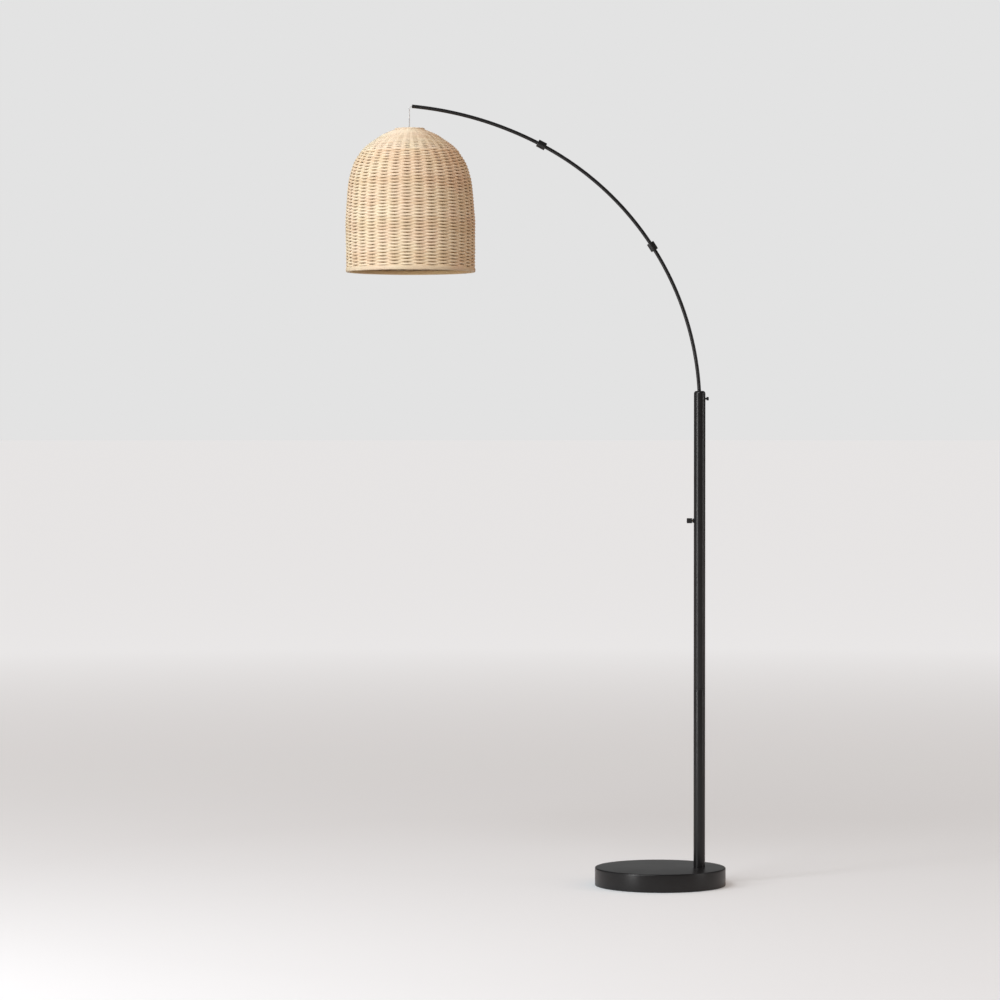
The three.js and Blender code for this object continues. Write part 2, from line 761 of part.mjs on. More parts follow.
function globePoints(radius, centre, neckRadius) {
  const neckAngle = Math.acos(neckRadius / radius);
  const points = [];
  for (let step = 0; step <= globeSteps; step += 1) {
    const angle = -Math.PI / 2 + ((neckAngle + Math.PI / 2) * step) / globeSteps;
    points.push([radius * Math.cos(angle), centre + radius * Math.sin(angle)]);
  }
  return points;
}

function addLamp() {
  const onAxis = [pendantOffset, 0, 0];
  const capFoot = lampShoulder - lampCapLength;
  const cap = [
    [0, capFoot],
    [lampCapRadius, capFoot],
    [lampCapRadius, lampShoulder],
    [lampTipRadius, lampTop],
    [0, lampTop],
  ];
  addPiece('lamp_cap', turned(cap, smallSides), brightSteel, onAxis);
  const collar = [
    [0, collarFoot],
    [lampCollarRadius, collarFoot],
    [lampCapRadius, collarTop],
    [0, collarTop],
  ];
  addPiece('lamp_collar', turned(collar, smallSides), opal, onAxis);
  const centre = collarFoot - seatGap - globeRadius * globeStandShare;
  const outer = globePoints(globeRadius, centre, globeRadius * Math.cos(Math.asin(globeStandShare)));
  const inner = outer.map(([radius, height]) => {
    const share = (globeRadius - globeWall) / globeRadius;
    return [radius * share, centre + (height - centre) * share];
  });
  const rim = outer[outer.length - 1];
  const globe = [...outer, [rim[0] - globeWall, rim[1]], ...inner.slice(0, -1).reverse()];
  addPiece('lamp_globe', turned(globe, smallSides), opal, onAxis);
}

addBase();
addPole();
addSwitch();
addThumbScrew();
addArm();
addPendantCord();
addShade();
addLampholder();
addLamp();

export default lamp;
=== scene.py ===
# %% [markdown]
# # A floor lamp with a rattan shade
# A round weighted base carries a straight black pole. A thin arm slides in the pole's top, bends
# over in three sections and holds a woven bell shade by its cord. The solid model of the lamp is
# loaded first, and every visible piece is then made in the same place as its solid.

import json
import math

import bpy
import numpy as np
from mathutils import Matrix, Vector


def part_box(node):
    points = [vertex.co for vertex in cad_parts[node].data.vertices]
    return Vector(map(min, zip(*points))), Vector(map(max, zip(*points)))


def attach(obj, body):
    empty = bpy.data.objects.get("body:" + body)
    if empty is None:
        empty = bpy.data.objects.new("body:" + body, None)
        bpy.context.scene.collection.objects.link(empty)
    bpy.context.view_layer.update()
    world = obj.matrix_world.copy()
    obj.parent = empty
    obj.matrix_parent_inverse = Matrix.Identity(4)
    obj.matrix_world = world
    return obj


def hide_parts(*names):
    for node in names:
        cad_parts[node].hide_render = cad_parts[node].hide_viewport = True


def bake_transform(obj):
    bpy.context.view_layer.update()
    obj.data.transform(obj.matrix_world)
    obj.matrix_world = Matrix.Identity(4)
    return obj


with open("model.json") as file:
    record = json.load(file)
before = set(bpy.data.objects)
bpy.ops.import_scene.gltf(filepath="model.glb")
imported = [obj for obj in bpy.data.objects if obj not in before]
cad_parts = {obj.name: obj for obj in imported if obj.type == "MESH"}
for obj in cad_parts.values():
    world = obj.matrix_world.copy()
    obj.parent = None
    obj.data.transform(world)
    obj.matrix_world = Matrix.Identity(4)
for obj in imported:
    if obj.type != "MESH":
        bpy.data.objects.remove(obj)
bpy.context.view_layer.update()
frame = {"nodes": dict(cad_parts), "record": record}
MM = 0.001

# %% [markdown]
# ## The camera
# A product photograph of a tall lamp is taken from far away with a long lens, so that the pole
# stays straight. The lens follows from how much larger the near side of the base looks than the
# far side. The camera stands a metre high and looks down by one degree.

# %% The camera
camera_place = Vector((-0.3532, -8.09, 0.9938))
camera_data = bpy.data.cameras.new("camera")
camera_data.lens = 132.37
camera_data.sensor_width = 36
camera = bpy.data.objects.new("camera", camera_data)
camera.location = camera_place
camera.rotation_euler = (math.radians(88.975), 0, 0)
bpy.context.scene.collection.objects.link(camera)
bpy.context.scene.camera = camera
bpy.context.scene.view_settings.view_transform = "Standard"
print("camera", round(-camera_place.y, 2), "m in front of the lamp")

# %% [markdown]
# ## Measuring the solids
# Each piece takes its place and size from the solid that it dresses. A turned part only needs its
# axis, its radius and its two ends, and the corners of the solid's box give all of these.

# %% Measuring helpers
def low_of(node):
    return Vector(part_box(node)[0])


def high_of(node):
    return Vector(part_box(node)[1])


def ends_of(node):
    """The heights of a solid's two ends"""
    return low_of(node).z, high_of(node).z


def middle(node):
    return (low_of(node) + high_of(node)) / 2


def radius_of(node):
    return (high_of(node).y - low_of(node).y) / 2


pole_x = middle("lower_pole").x
pole_radius = radius_of("lower_pole")
pendant_x = middle("rim_hoop").x
print("pole axis at x", round(pole_x, 4), "and shade axis at x", round(pendant_x, 4))

# %% [markdown]
# ## Making a mesh
# Every piece is a mesh of points and faces, given in its final place. Smooth shading with sharp
# edges kept makes curved walls look curved while real corners stay crisp.

# %% Making a mesh
def make_object(name, points, faces, edges=()):
    mesh = bpy.data.meshes.new(name)
    mesh.from_pydata([tuple(point) for point in points], edges, faces)
    mesh.update()
    obj = bpy.data.objects.new(name, mesh)
    bpy.context.scene.collection.objects.link(obj)
    return obj


def smooth(obj, angle=35):
    obj.data.shade_smooth()
    obj.data.set_sharp_from_angle(angle=math.radians(angle))


# %% [markdown]
# ## Helpers for materials and node trees
# One function adds a node with its settings and its inputs, and serves shaders and Geometry Nodes
# alike. Short ones on top of it make what most of the trees share: sums, a noise with grains of a
# real size, a mix of two colours, a relief, and the surface itself. Colours are written as they
# look on a screen, and one function turns them to the linear values that the renderer works with.

# %% Node helpers
def linear(code):
    """A linear colour from a six figure screen colour"""
    values = [int(code[at : at + 2], 16) / 255 for at in (0, 2, 4)]
    return (*[v / 12.92 if v <= 0.04045 else ((v + 0.055) / 1.055) ** 2.4 for v in values], 1.0)


def output_of(node, name=None):
    return next(s for s in node.outputs if s.enabled and name in (None, s.name))


def add_node(tree, kind, settings=None, inputs=None):
    """Adds a node, sets its properties, and sets each input or links it to a node or a socket"""
    node = tree.nodes.new(kind)
    for name, value in (settings or {}).items():
        setattr(node, name, value)
    for name, value in (inputs or {}).items():
        sockets = [s for s in node.inputs if s.enabled and s.name == name]
        socket = node.inputs[name] if isinstance(name, int) else sockets[0]
        if isinstance(value, bpy.types.Node):
            value = output_of(value)
        if isinstance(value, bpy.types.NodeSocket):
            tree.links.new(value, socket)
        else:
            socket.default_value = value
    return node


def calc(tree, operation, *values):
    return add_node(tree, "ShaderNodeMath", {"operation": operation}, dict(enumerate(values)))


def vector_calc(tree, operation, *values):
    return add_node(
        tree, "ShaderNodeVectorMath", {"operation": operation}, dict(enumerate(values)))


def parts_of(tree, vector):
    """The three numbers in a vector"""
    split = add_node(tree, "ShaderNodeSeparateXYZ", inputs={"Vector": vector})
    return [output_of(split, axis) for axis in "XYZ"]


def vector_of(tree, x=0.0, y=0.0, z=0.0):
    return add_node(tree, "ShaderNodeCombineXYZ", inputs={"X": x, "Y": y, "Z": z})


def ranged(tree, value, low, high, start=0.0, end=1.0, kind="LINEAR"):
    """Turns a range from low to high into one from start to end, and goes no further"""
    return add_node(tree, "ShaderNodeMapRange", {"interpolation_type": kind}, {
        "Value": value, "From Min": low, "From Max": high, "To Min": start, "To Max": end,
    })


def object_place(tree):
    return output_of(add_node(tree, "ShaderNodeTexCoord"), "Object")


def noise(tree, place, size, detail=2.0, distortion=0.0, seed=None):
    """Noise with grains of a given size, and with its own pattern for each seed"""
    inputs = {"Vector": place, "Scale": 1 / size, "Detail": detail, "Distortion": distortion}
    if seed is None:
        return add_node(tree, "ShaderNodeTexNoise", inputs=inputs)
    return add_node(
        tree, "ShaderNodeTexNoise", {"noise_dimensions": "4D"}, {**inputs, "W": seed})


def mixed(tree, factor, first, second, blend="MIX"):
    """Two colours mixed, each a screen colour or a node"""
    first, second = [linear(c) if isinstance(c, str) else c for c in (first, second)]
    return add_node(tree, "ShaderNodeMix", {"data_type": "RGBA", "blend_type": blend}, {
        "Factor": factor, "A": first, "B": second,
    })


def relief(tree, height, strength, depth):
    return add_node(tree, "ShaderNodeBump", inputs={
        "Height": height, "Strength": strength, "Distance": depth,
    })


def new_material(name):
    material = bpy.data.materials.new(name)
    material.use_nodes = True
    material.node_tree.nodes.clear()
    return material, material.node_tree


def output(tree, shader):
    add_node(tree, "ShaderNodeOutputMaterial", inputs={"Surface": shader})
    print("a finish of", len(tree.nodes), "nodes")


def surface(tree, colour, roughness, **more):
    """Ends a material with a colour, a roughness and other inputs, each given by a short word"""
    names = {
        "normal": "Normal", "ior": "IOR", "metallic": "Metallic", "sheen": "Sheen Weight",
        "transmission": "Transmission Weight", "specular": "Specular IOR Level",
        "scatter": "Subsurface Weight", "scatter_radius": "Subsurface Radius",
        "scatter_scale": "Subsurface Scale",
    }
    output(tree, add_node(tree, "ShaderNodeBsdfPrincipled", inputs={
        "Base Color": colour, "Roughness": roughness,
        **{names[word]: value for word, value in more.items()},
    }))


# %% [markdown]
# ## Baked black enamel
# The pole, arm, base cover and collars are steel with a sprayed and baked black enamel, a
# semi-gloss skin of neutral black. The spray dries with a faint orange peel, so the highlight along
# the pole has soft edges. The peel is real at about a millimetre; it is drawn at 2 mm so that it
# still shows from a step away.

# %% Baked black enamel
def baked_enamel():
    material, tree = new_material("baked_black_enamel")
    place = object_place(tree)
    patch = noise(tree, place, 60 * MM, 3.0)
    peel = noise(tree, place, 2 * MM, 1.0)
    surface(
        tree, mixed(tree, patch, "181819", "202021"), ranged(tree, patch, 0.0, 1.0, 0.26, 0.34),
        normal=relief(tree, peel, 0.25, 0.02 * MM), ior=1.5)
    return material


enamel = baked_enamel()

# %% [markdown]
# ## Moulded black plastic
# The switch knob, its ring nut, the lampholder and the small bushes are moulded ABS with a
# spark-eroded texture. The fine grit of the mould, about 0.4 mm, breaks the highlight into an even
# satin. Moulded nylon is the same with a paler tone.

# %% Moulded black plastic
def moulded_plastic(name, dark, light, roughness):
    material, tree = new_material(name)
    grit = noise(tree, object_place(tree), 0.4 * MM)
    surface(
        tree, mixed(tree, grit, dark, light), roughness,
        normal=relief(tree, grit, 0.3, 0.03 * MM), ior=1.53)
    return material


black_abs = moulded_plastic("moulded_black_abs", "19191A", "242425", 0.48)
white_nylon = moulded_plastic("moulded_white_nylon", "DDDAD0", "F0EDE4", 0.55)

# %% [markdown]
# ## Turned and plated metal
# The nuts, washers, ferrules and plates are steel with a bright zinc plate, and the contact, the
# spindle and the clamp pad are bare brass. A cutting tool leaves fine rings round a turned part,
# about 0.5 mm apart. Noise that is stretched flat across the height gives them without a seam.

# %% Turned metal
def turned_metal(name, dark, light, roughness):
    material, tree = new_material(name)
    stretch = add_node(tree, "ShaderNodeMapping", inputs={
        "Vector": object_place(tree), "Scale": (0.06, 0.06, 1.0),
    })
    rings = noise(tree, stretch, 0.5 * MM)
    gloss = ranged(tree, rings, 0.0, 1.0, roughness - 0.06, roughness + 0.08)
    surface(
        tree, mixed(tree, rings, dark, light), gloss,
        normal=relief(tree, rings, 0.3, 0.02 * MM), metallic=1.0)
    return material


zinc_plate = turned_metal("zinc_plated_steel", "A9ADB1", "CBCED2", 0.3)
bare_brass = turned_metal("turned_brass", "B7944A", "D6B76A", 0.32)

# %% [markdown]
# ## Cement weight and felt pad
# The base gets its weight from a cast cement disc, pitted where air was trapped, and stands on a
# pressed felt pad. Both only show from underneath, yet each has its own grain: pits of 2 to 3 mm,
# and fibres of about half a millimetre.

# %% Cement and felt
def cast_cement():
    material, tree = new_material("cast_cement")
    place = object_place(tree)
    sand = noise(tree, place, 1.5 * MM, 5.0)
    pits = add_node(tree, "ShaderNodeTexVoronoi", inputs={"Vector": place, "Scale": 1 / (6 * MM)})
    pitted = ranged(tree, pits, 0.05, 0.3)
    surface(
        tree, mixed(tree, pitted, "5E5B56", mixed(tree, sand, "7C7973", "A39F97")), 0.92,
        normal=relief(tree, pitted, 0.6, 0.6 * MM))
    return material


def pressed_felt():
    material, tree = new_material("pressed_felt")
    fibres = noise(tree, object_place(tree), 0.5 * MM, 4.0, distortion=1.5)
    surface(
        tree, mixed(tree, fibres, "19191B", "35353A"), 0.95,
        normal=relief(tree, fibres, 0.7, 0.2 * MM), sheen=0.3)
    return material


cement = cast_cement()
felt = pressed_felt()

# %% [markdown]
# ## Clear sheathed cord
# The pendant cord has two pale cores twisted inside a clear PVC sheath, so it reads as a soft
# translucent grey with faint slanting stripes. The twist has a lay of about 18 mm. An angle round
# the cord plus the height gives the stripes.

# %% Clear sheathed cord
def clear_sheathed_cord():
    material, tree = new_material("clear_sheathed_cord")
    place = object_place(tree)
    centre = add_node(tree, "ShaderNodeMapping", {"vector_type": "POINT"}, {
        "Vector": place, "Location": (-pendant_x, 0, 0),
    })
    around = add_node(tree, "ShaderNodeTexGradient", {"gradient_type": "RADIAL"}, {
        "Vector": centre,
    })
    height = parts_of(tree, place)[2]
    turns = calc(tree, "MULTIPLY_ADD", height, 1 / (18 * MM), around)
    wave = calc(tree, "SINE", calc(tree, "MULTIPLY", turns, 4 * math.pi))
    colour = mixed(tree, ranged(tree, wave, -1.0, 1.0), "DCDFE2", "F0F2F4")
    surface(tree, colour, 0.22, ior=1.53, transmission=0.25)
    return material


cord_sheath = clear_sheathed_cord()

# %% [markdown]
# ## Rattan core
# Peeled rattan core is a pale honey wood without rings. Its fibres run along the strand and show as
# fine darker streaks, and each length of core has its own tone. The strands carry values made with
# them: how far along the strand a point is, where it lies in the strand's section, the tone, and
# how deep it is tucked in behind a stake. Streaks drawn on these follow every bend. Real fibres are
# 0.2 mm wide; here they are 0.6 mm so that they show. Tucked in places are painted browner, as
# painted shade for the shadow in the dips behind the stakes, and patches of a few centimetres
# differ a little in hue. The stakes are painted darker than the strands, as painted shade for the
# gaps where they show; the rim is split cane.

# %% Rattan core
def rattan_core(name, dark, light, streak, roughness):
    material, tree = new_material(name)
    along, section, tone, tuck = [
        output_of(add_node(tree, "ShaderNodeAttribute", {"attribute_name": value}), kind)
        for value, kind in (
            ("along", "Fac"), ("section", "Vector"), ("tone", "Fac"), ("tuck", "Fac"))
    ]
    sideways, upwards = parts_of(tree, section)[:2]
    place = vector_of(tree, calc(tree, "ADD", along, tone), sideways, upwards)
    stretched = add_node(tree, "ShaderNodeMapping", inputs={
        "Vector": place, "Scale": (1 / (14 * MM), 1 / (0.6 * MM), 1 / (0.6 * MM)),
    })
    fibres = noise(tree, stretched, 1.0, 3.0)
    wood = mixed(tree, tone, dark, light)
    streaked = mixed(tree, ranged(tree, fibres, 0.52, 0.72, 0.0, 0.55), wood, streak)
    patches = noise(tree, object_place(tree), 55 * MM)
    sunned = mixed(tree, ranged(tree, patches, 0.4, 0.6), streaked, "FFF9FB", "MULTIPLY")
    # painted shade: tucked places, where a strand dips behind a stake, are mixed towards brown
    tucked_painted_shade = mixed(tree, ranged(tree, tuck, 0.45, 1.0, 0.0, 0.52), sunned, "866538")
    surface(
        tree, tucked_painted_shade, roughness, normal=relief(tree, fibres, 0.35, 0.15 * MM),
        ior=1.45, specular=0.35)
    return material


weft_core = rattan_core("rattan_weft_core", "E7D3B2", "F2E4C8", "C5A378", 0.6)
# painted light: the crown's core is paler for the light that falls on it from above
crown_core_painted_lit = rattan_core("rattan_crown_core", "ECDFC4", "F5EBD3", "CEB18A", 0.6)
# painted shade: the stakes are darker for the shadow in the gaps where they show
stake_core_painted_shade = rattan_core("rattan_stake_core", "9A7850", "B28F63", "6F5032", 0.65)
rim_cane = rattan_core("split_rim_cane", "DCCAAB", "E9DBBF", "B2906A", 0.55)
# painted light: the inner rim cane is browner for the warm light bounced inside the shade
inner_cane_painted_bounce = rattan_core("split_inner_cane", "DCBD8C", "E7CEA1", "B8925F", 0.6)

# %% [markdown]
# ## Opal plastic
# The lamp's globe and collar are opal polycarbonate, a white plastic that lets light a little way
# in and sends it out again, so its shadows are soft. Mould flow gives it a faint unevenness over
# about 15 mm.

# %% Opal plastic
def opal_polycarbonate():
    material, tree = new_material("opal_polycarbonate")
    flow = noise(tree, object_place(tree), 15 * MM)
    surface(
        tree, mixed(tree, flow, "E9E6DF", "F4F1EA"), ranged(tree, flow, 0.0, 1.0, 0.32, 0.44),
        ior=1.58, scatter=0.25, scatter_radius=(1.0, 1.0, 1.0), scatter_scale=2 * MM)
    return material


opal = opal_polycarbonate()

# %% [markdown]
# ## Finishes for the pieces inside
# Many pieces are hidden or nearly hidden: the foot plug, the coupler, the bushes, the ferrules.
# Their solids already have the right shape, so they stay, and each takes the finish that its slot
# in the record names. Pieces that show are made again below with rounded edges.

# %% Finishes for the pieces inside
finish_of = {
    "black_enamel": enamel, "black_plastic": black_abs, "zinc_steel": zinc_plate,
    "brass": bare_brass, "white_nylon": white_nylon, "cast_weight": cement, "felt": felt,
    "clear_pvc": cord_sheath, "rattan": weft_core, "opal_plastic": opal,
}
slot_of = {part["node"]: part["material_slot"] for part in frame["record"]["subparts"]}
for node, solid in frame["nodes"].items():
    solid.data.materials.clear()
    solid.data.materials.append(finish_of[slot_of[node]])
print(len(slot_of), "solids have a finish")

# %% [markdown]
# ## The pendant cord
# A limp 2.6 mm cord comes out of the arm's tip, turns down over two diameters and hangs straight to
# the grip in the shade's crown. Its route is a list of points. A round section swept along a smooth
# line through them makes the tube, and its ends are domed where they meet the grip and the cable.

# %% The pendant cord
def smooth_line(corners, steps):
    """A smooth line through the corners, with that many steps between each two"""
    corners = [np.array(corner, float) for corner in corners]
    padded = [2 * corners[0] - corners[1], *corners, 2 * corners[-1] - corners[-2]]
    points = []
    for before, start, end, after in zip(padded, padded[1:], padded[2:], padded[3:]):
        for step in range(steps):
            t = step / steps
            points.append(0.5 * (
                2 * start + (end - before) * t + (2 * before - 5 * start + 4 * end - after) * t**2
                + (3 * start - before - 3 * end + after) * t**3
            ))
    return np.array([*points, corners[-1]])


def length_of(line):
    return float(np.linalg.norm(np.diff(line, axis=0), axis=1).sum())


def swept(name, line, radii, bore=0.0, sides=24):
    """A tube along a line in the plane y = 0, hollow where a bore is given"""
    line = [Vector(point) for point in line]
    count = len(line)
    points, rings = [], []
    walls = [(at, radii[at]) for at in range(count)]
    if bore:
        walls += [(at, bore) for at in reversed(range(count))]
    for at, radius in walls:
        run = (line[min(at + 1, count - 1)] - line[max(at - 1, 0)]).normalized()
        across = Vector((0, 1, 0)).cross(run)
        rings.append(list(range(len(points), len(points) + sides)))
        for side in range(sides):
            angle = 2 * math.pi * side / sides
            points.append(line[at] + radius * (
                across * math.cos(angle) + Vector((0, 1, 0)) * math.sin(angle)))
    pairs = list(zip(rings, rings[1:])) + ([(rings[-1], rings[0])] if bore else [])
    faces = [
        [low[side], low[(side + 1) % sides], high[(side + 1) % sides], high[side]]
        for low, high in pairs for side in range(sides)
    ]
    if not bore:
        faces += [rings[0][::-1], rings[-1]]
    obj = make_object(name, points, faces)
    smooth(obj, 50)
    return obj


cord_route = [
    (-0.546793, 0, 1.713864), (-0.548193, 0, 1.713804), (-0.549563, 0, 1.713364),
    (-0.550763, 0, 1.712554), (-0.551693, 0, 1.711444), (-0.552283, 0, 1.710124),
    (-0.552493, 0, 1.708684), (-0.552493, 0, 1.704764), (-0.552493, 0, 1.700264),
    (-0.552493, 0, 1.695764), (-0.552493, 0, 1.691264), (-0.552493, 0, 1.686764),
    (-0.552493, 0, 1.682264), (-0.552493, 0, 1.677764), (-0.552493, 0, 1.672764),
    (-0.552493, 0, 1.667764), (-0.552493, 0, 1.664704),
]
cord_radius = 1.3 * MM
cord_reach = 0.6 * MM  # into the grip
dome = [(0.3 * MM, 0.45), (0.2 * MM, 0.75), (0.08 * MM, 0.93)]  # how far out, share of the radius
cord_line = smooth_line(cord_route, 6)
first_run = (cord_line[1] - cord_line[0]) / np.linalg.norm(cord_line[1] - cord_line[0])
last_run = np.array((0, 0, -1))
domed_line = [
    *[cord_line[0] - first_run * out for out, share in dome], *cord_line,
    *[cord_line[-1] + last_run * (cord_reach + out) for out, share in reversed(dome)],
]
dome_sizes = [share * cord_radius for out, share in dome]
cord_sizes = [*dome_sizes, *[cord_radius] * len(cord_line), *reversed(dome_sizes)]
pendant_cord = swept("pendant_cord_piece", domed_line, cord_sizes)
pendant_cord.data.materials.append(cord_sheath)
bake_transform(pendant_cord)
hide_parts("pendant_cord")

# %% [markdown]
# ## The shade's outline
# The bell is nearly straight at the rim and turns in faster and faster towards the crown. The
# weaver follows a former, so one outline rules every strand. It is written as shares of the bell's
# height and radius, smoothed, and then moved in by a strand's radius and its swing, because the
# strands swing to both sides of it. The swing dies away near the crown's edge, where the stakes
# lie close. Above a change line the weaver went on with thinner core, painted paler: painted light,
# for the light that falls from above on the crown.

# %% The shade's outline
bell_height_shares = [
    0, 0.19, 0.35, 0.47, 0.565, 0.64, 0.705, 0.76, 0.808, 0.85, 0.888, 0.922, 0.95, 0.972, 0.99,
]
bell_radius_shares = [
    0.991, 0.998, 1, 0.977, 0.956, 0.925, 0.876, 0.818, 0.737, 0.65, 0.533, 0.396, 0.278, 0.15,
    0.022,
]
bell_radius = radius_of("shade") + 0.1 * MM
bell_foot, bell_top = ends_of("shade")
crown_radius = 32 * MM
crown_hole_radius = 21.5 * MM
change_height = 1614 * MM
flat_radius = 22 * MM  # strands swing fully from the full radius outwards, and not at all here
full_radius = 56 * MM


def moved_in(line, strand, swing):
    """The outline moved in by a strand's radius and as much of the swing as it has there"""
    share = np.clip((line[:, 0] - flat_radius) / (full_radius - flat_radius), 0, 1)
    share = share * share * (3 - 2 * share)
    run = np.gradient(line, axis=0)
    run /= np.linalg.norm(run, axis=1)[:, None]
    inward = np.stack([-run[:, 1], run[:, 0]], axis=1)
    return line + inward * (strand + swing * share)[:, None]


outline_corners = [
    (crown_radius + (bell_radius - crown_radius) * out, bell_foot + (bell_top - bell_foot) * up)
    for up, out in zip(bell_height_shares, bell_radius_shares)
]
outline_corners += [(crown_radius, bell_top), (crown_hole_radius, bell_top)]
outer_line = smooth_line(outline_corners, 8)
outer_line[:, 1] = np.minimum(outer_line[:, 1], bell_top)
print("the outline is", round(length_of(outer_line) / MM), "mm long")

# %% [markdown]
# ## The weave
# Plain weave: each weaver goes in front of one stake and behind the next, and the row above does
# the opposite. With an even number of stakes that takes two weavers, which chase each other up the
# bell in two spirals. Geometry Nodes suit a rule like this. The tree reads the outline from the
# object, lays two long lines of points up it, swings them in and out past the stakes, and sweeps an
# oval section along them, taller than it is deep, as damp core is when it is beaten down. The bow
# in front of a stake is broad and the dip behind the next one is short, which is what the input Dip
# Sharpness says. Each point keeps how deep it is tucked in, for the colour. A gentle noise moves
# the rows a little, as hand work does.

# %% The weave's node tree
def new_tree(name, numbers, whole_numbers):
    """An empty node tree with named inputs, and its group input and output"""
    tree = bpy.data.node_groups.new(name, "GeometryNodeTree")
    named = [("Outline", "Geometry"), *[(number, "Float") for number in numbers],
             *[(number, "Int") for number in whole_numbers], ("Material", "Material")]
    for label, kind in named:
        tree.interface.new_socket(label, in_out="INPUT", socket_type="NodeSocket" + kind)
    tree.interface.new_socket("Geometry", in_out="OUTPUT", socket_type="NodeSocketGeometry")
    given, made = tree.nodes.new("NodeGroupInput"), tree.nodes.new("NodeGroupOutput")
    return tree, given.outputs, made.inputs


def grow(tree, kind, settings=None, **inputs):
    """A geometry node, with each input given as its name in small letters"""
    names = {name: name.replace("_", " ").title() for name in inputs}
    return add_node(tree, "GeometryNode" + kind, settings, {
        names[name]: value for name, value in inputs.items()
    })


def stored(tree, geometry, name, value, kind="FLOAT"):
    return grow(
        tree, "StoreNamedAttribute", {"data_type": kind, "domain": "POINT"},
        geometry=geometry, name=name, value=value)


def random_tone(tree, which, seed):
    return add_node(tree, "FunctionNodeRandomValue", {"data_type": "FLOAT"}, {
        "ID": which, "Seed": seed,
    })


def uneven(tree, place, noise_node, amount):
    """A place moved by a noise, to all sides alike"""
    centred = vector_calc(tree, "SUBTRACT", output_of(noise_node, "Color"), (0.5, 0.5, 0.5))
    return vector_calc(tree, "MULTIPLY_ADD", centred, amount, place)


def round_the_axis(tree, radius, height, angle, axis_x=0.0):
    """A point at a radius, a height and an angle round the shade's axis"""
    x = calc(tree, "MULTIPLY_ADD", radius, calc(tree, "COSINE", angle), axis_x)
    y = calc(tree, "MULTIPLY", radius, calc(tree, "SINE", angle))
    return vector_of(tree, x, y, height)


def sweep_oval(tree, outputs, curve, given, depth, height, **more):
    """Sweeps an oval along the curve, each point with its place in the oval, and ends the tree"""
    circle = grow(tree, "CurvePrimitiveCircle", resolution=given["Sides"], radius=0.5)
    oval = grow(tree, "Transform", geometry=circle, scale=vector_of(tree, depth, height, 1.0))
    section = stored(tree, oval, "section", grow(tree, "InputPosition"), "FLOAT_VECTOR")
    tube = grow(tree, "CurveToMesh", curve=curve, profile_curve=section, **more)
    real = grow(tree, "RealizeInstances", geometry=grow(tree, "SetShadeSmooth", geometry=tube))
    done = grow(tree, "SetMaterial", geometry=real, material=given["Material"])
    tree.links.new(output_of(done), outputs["Geometry"])


lengths_per_turn, most_lengths = 0.43, 1000.0  # of core, each with its own tone
thinnest, thicker = 0.95, 0.1  # a strand's size, and how much may come on top


def weave_tree():
    tree, given, outputs = new_tree(
        "weave", ["Row Pitch", "Strand Depth", "Strand Height", "Swing", "Dip Sharpness",
                  "Flat Radius", "Full Radius", "Axis X", "Start Angle", "Unevenness"],
        ["Turns", "Stakes", "Points per Stake", "Sides", "Seed"])
    outline = grow(tree, "MeshToCurve", mesh=given["Outline"])
    per_turn = calc(tree, "MULTIPLY", given["Stakes"], given["Points per Stake"])
    count = calc(tree, "MULTIPLY", per_turn, given["Turns"])
    weaver = grow(tree, "MeshToCurve", mesh=grow(tree, "MeshLine", count=count))
    weavers = grow(tree, "DuplicateElements", {"domain": "SPLINE"}, geometry=weaver, amount=2)
    which = output_of(weavers, "Duplicate Index")
    turn = calc(
        tree, "DIVIDE", calc(tree, "MODULO", grow(tree, "InputIndex"), count), per_turn)
    rows = calc(tree, "MULTIPLY_ADD", turn, 2.0, which)
    here = grow(
        tree, "SampleCurve", {"mode": "LENGTH"}, curves=outline,
        length=calc(tree, "MULTIPLY", rows, given["Row Pitch"]))
    on_outline = output_of(here, "Position")
    outwards = vector_calc(tree, "CROSS_PRODUCT", (0, 1, 0), output_of(here, "Tangent"))
    radius, _, height = parts_of(tree, on_outline)
    share = ranged(
        tree, radius, given["Flat Radius"], given["Full Radius"], kind="SMOOTHSTEP")
    phase = calc(tree, "MULTIPLY_ADD", turn, given["Stakes"], which)
    wave = calc(tree, "COSINE", calc(tree, "MULTIPLY", phase, math.pi))
    between = calc(tree, "SUBTRACT", 1.0, calc(tree, "MULTIPLY", wave, wave))
    bowed = calc(tree, "MULTIPLY_ADD", between, given["Dip Sharpness"], wave)
    swing = calc(tree, "MULTIPLY", calc(tree, "MULTIPLY", bowed, given["Swing"]), share)
    angle = calc(tree, "MULTIPLY_ADD", turn, 2 * math.pi, given["Start Angle"])
    even = vector_calc(tree, "MULTIPLY_ADD", outwards, swing, on_outline)
    flat = round_the_axis(tree, radius, height, angle)
    wander = noise(tree, flat, 30 * MM, 1.0, seed=given["Seed"])
    out, _, up = parts_of(tree, uneven(tree, even, wander, given["Unevenness"]))
    laid = grow(
        tree, "SetPosition", geometry=weavers,
        position=round_the_axis(tree, out, up, angle, given["Axis X"]))
    along = calc(tree, "MULTIPLY", calc(tree, "MULTIPLY", turn, 2 * math.pi), radius)
    length_number = calc(
        tree, "FLOOR", calc(tree, "MULTIPLY_ADD", turn, lengths_per_turn, which))
    piece_number = calc(tree, "MULTIPLY_ADD", which, most_lengths, length_number)
    tuck = calc(tree, "MULTIPLY_ADD", bowed, -0.5, 0.5)
    marked = stored(tree, laid, "along", along)
    marked = stored(tree, marked, "tone", random_tone(tree, piece_number, given["Seed"]))
    marked = stored(tree, marked, "tuck", tuck)
    upright = grow(tree, "SetCurveNormal", {"mode": "Z_UP"}, curve=marked)
    thick = calc(tree, "MULTIPLY_ADD", output_of(wander, "Fac"), thicker, thinnest)
    sweep_oval(
        tree, outputs, upright, given, given["Strand Depth"], given["Strand Height"],
        scale=thick, fill_caps=True)
    return tree


weave = weave_tree()
print("the weave's tree has", len(weave.nodes), "nodes")

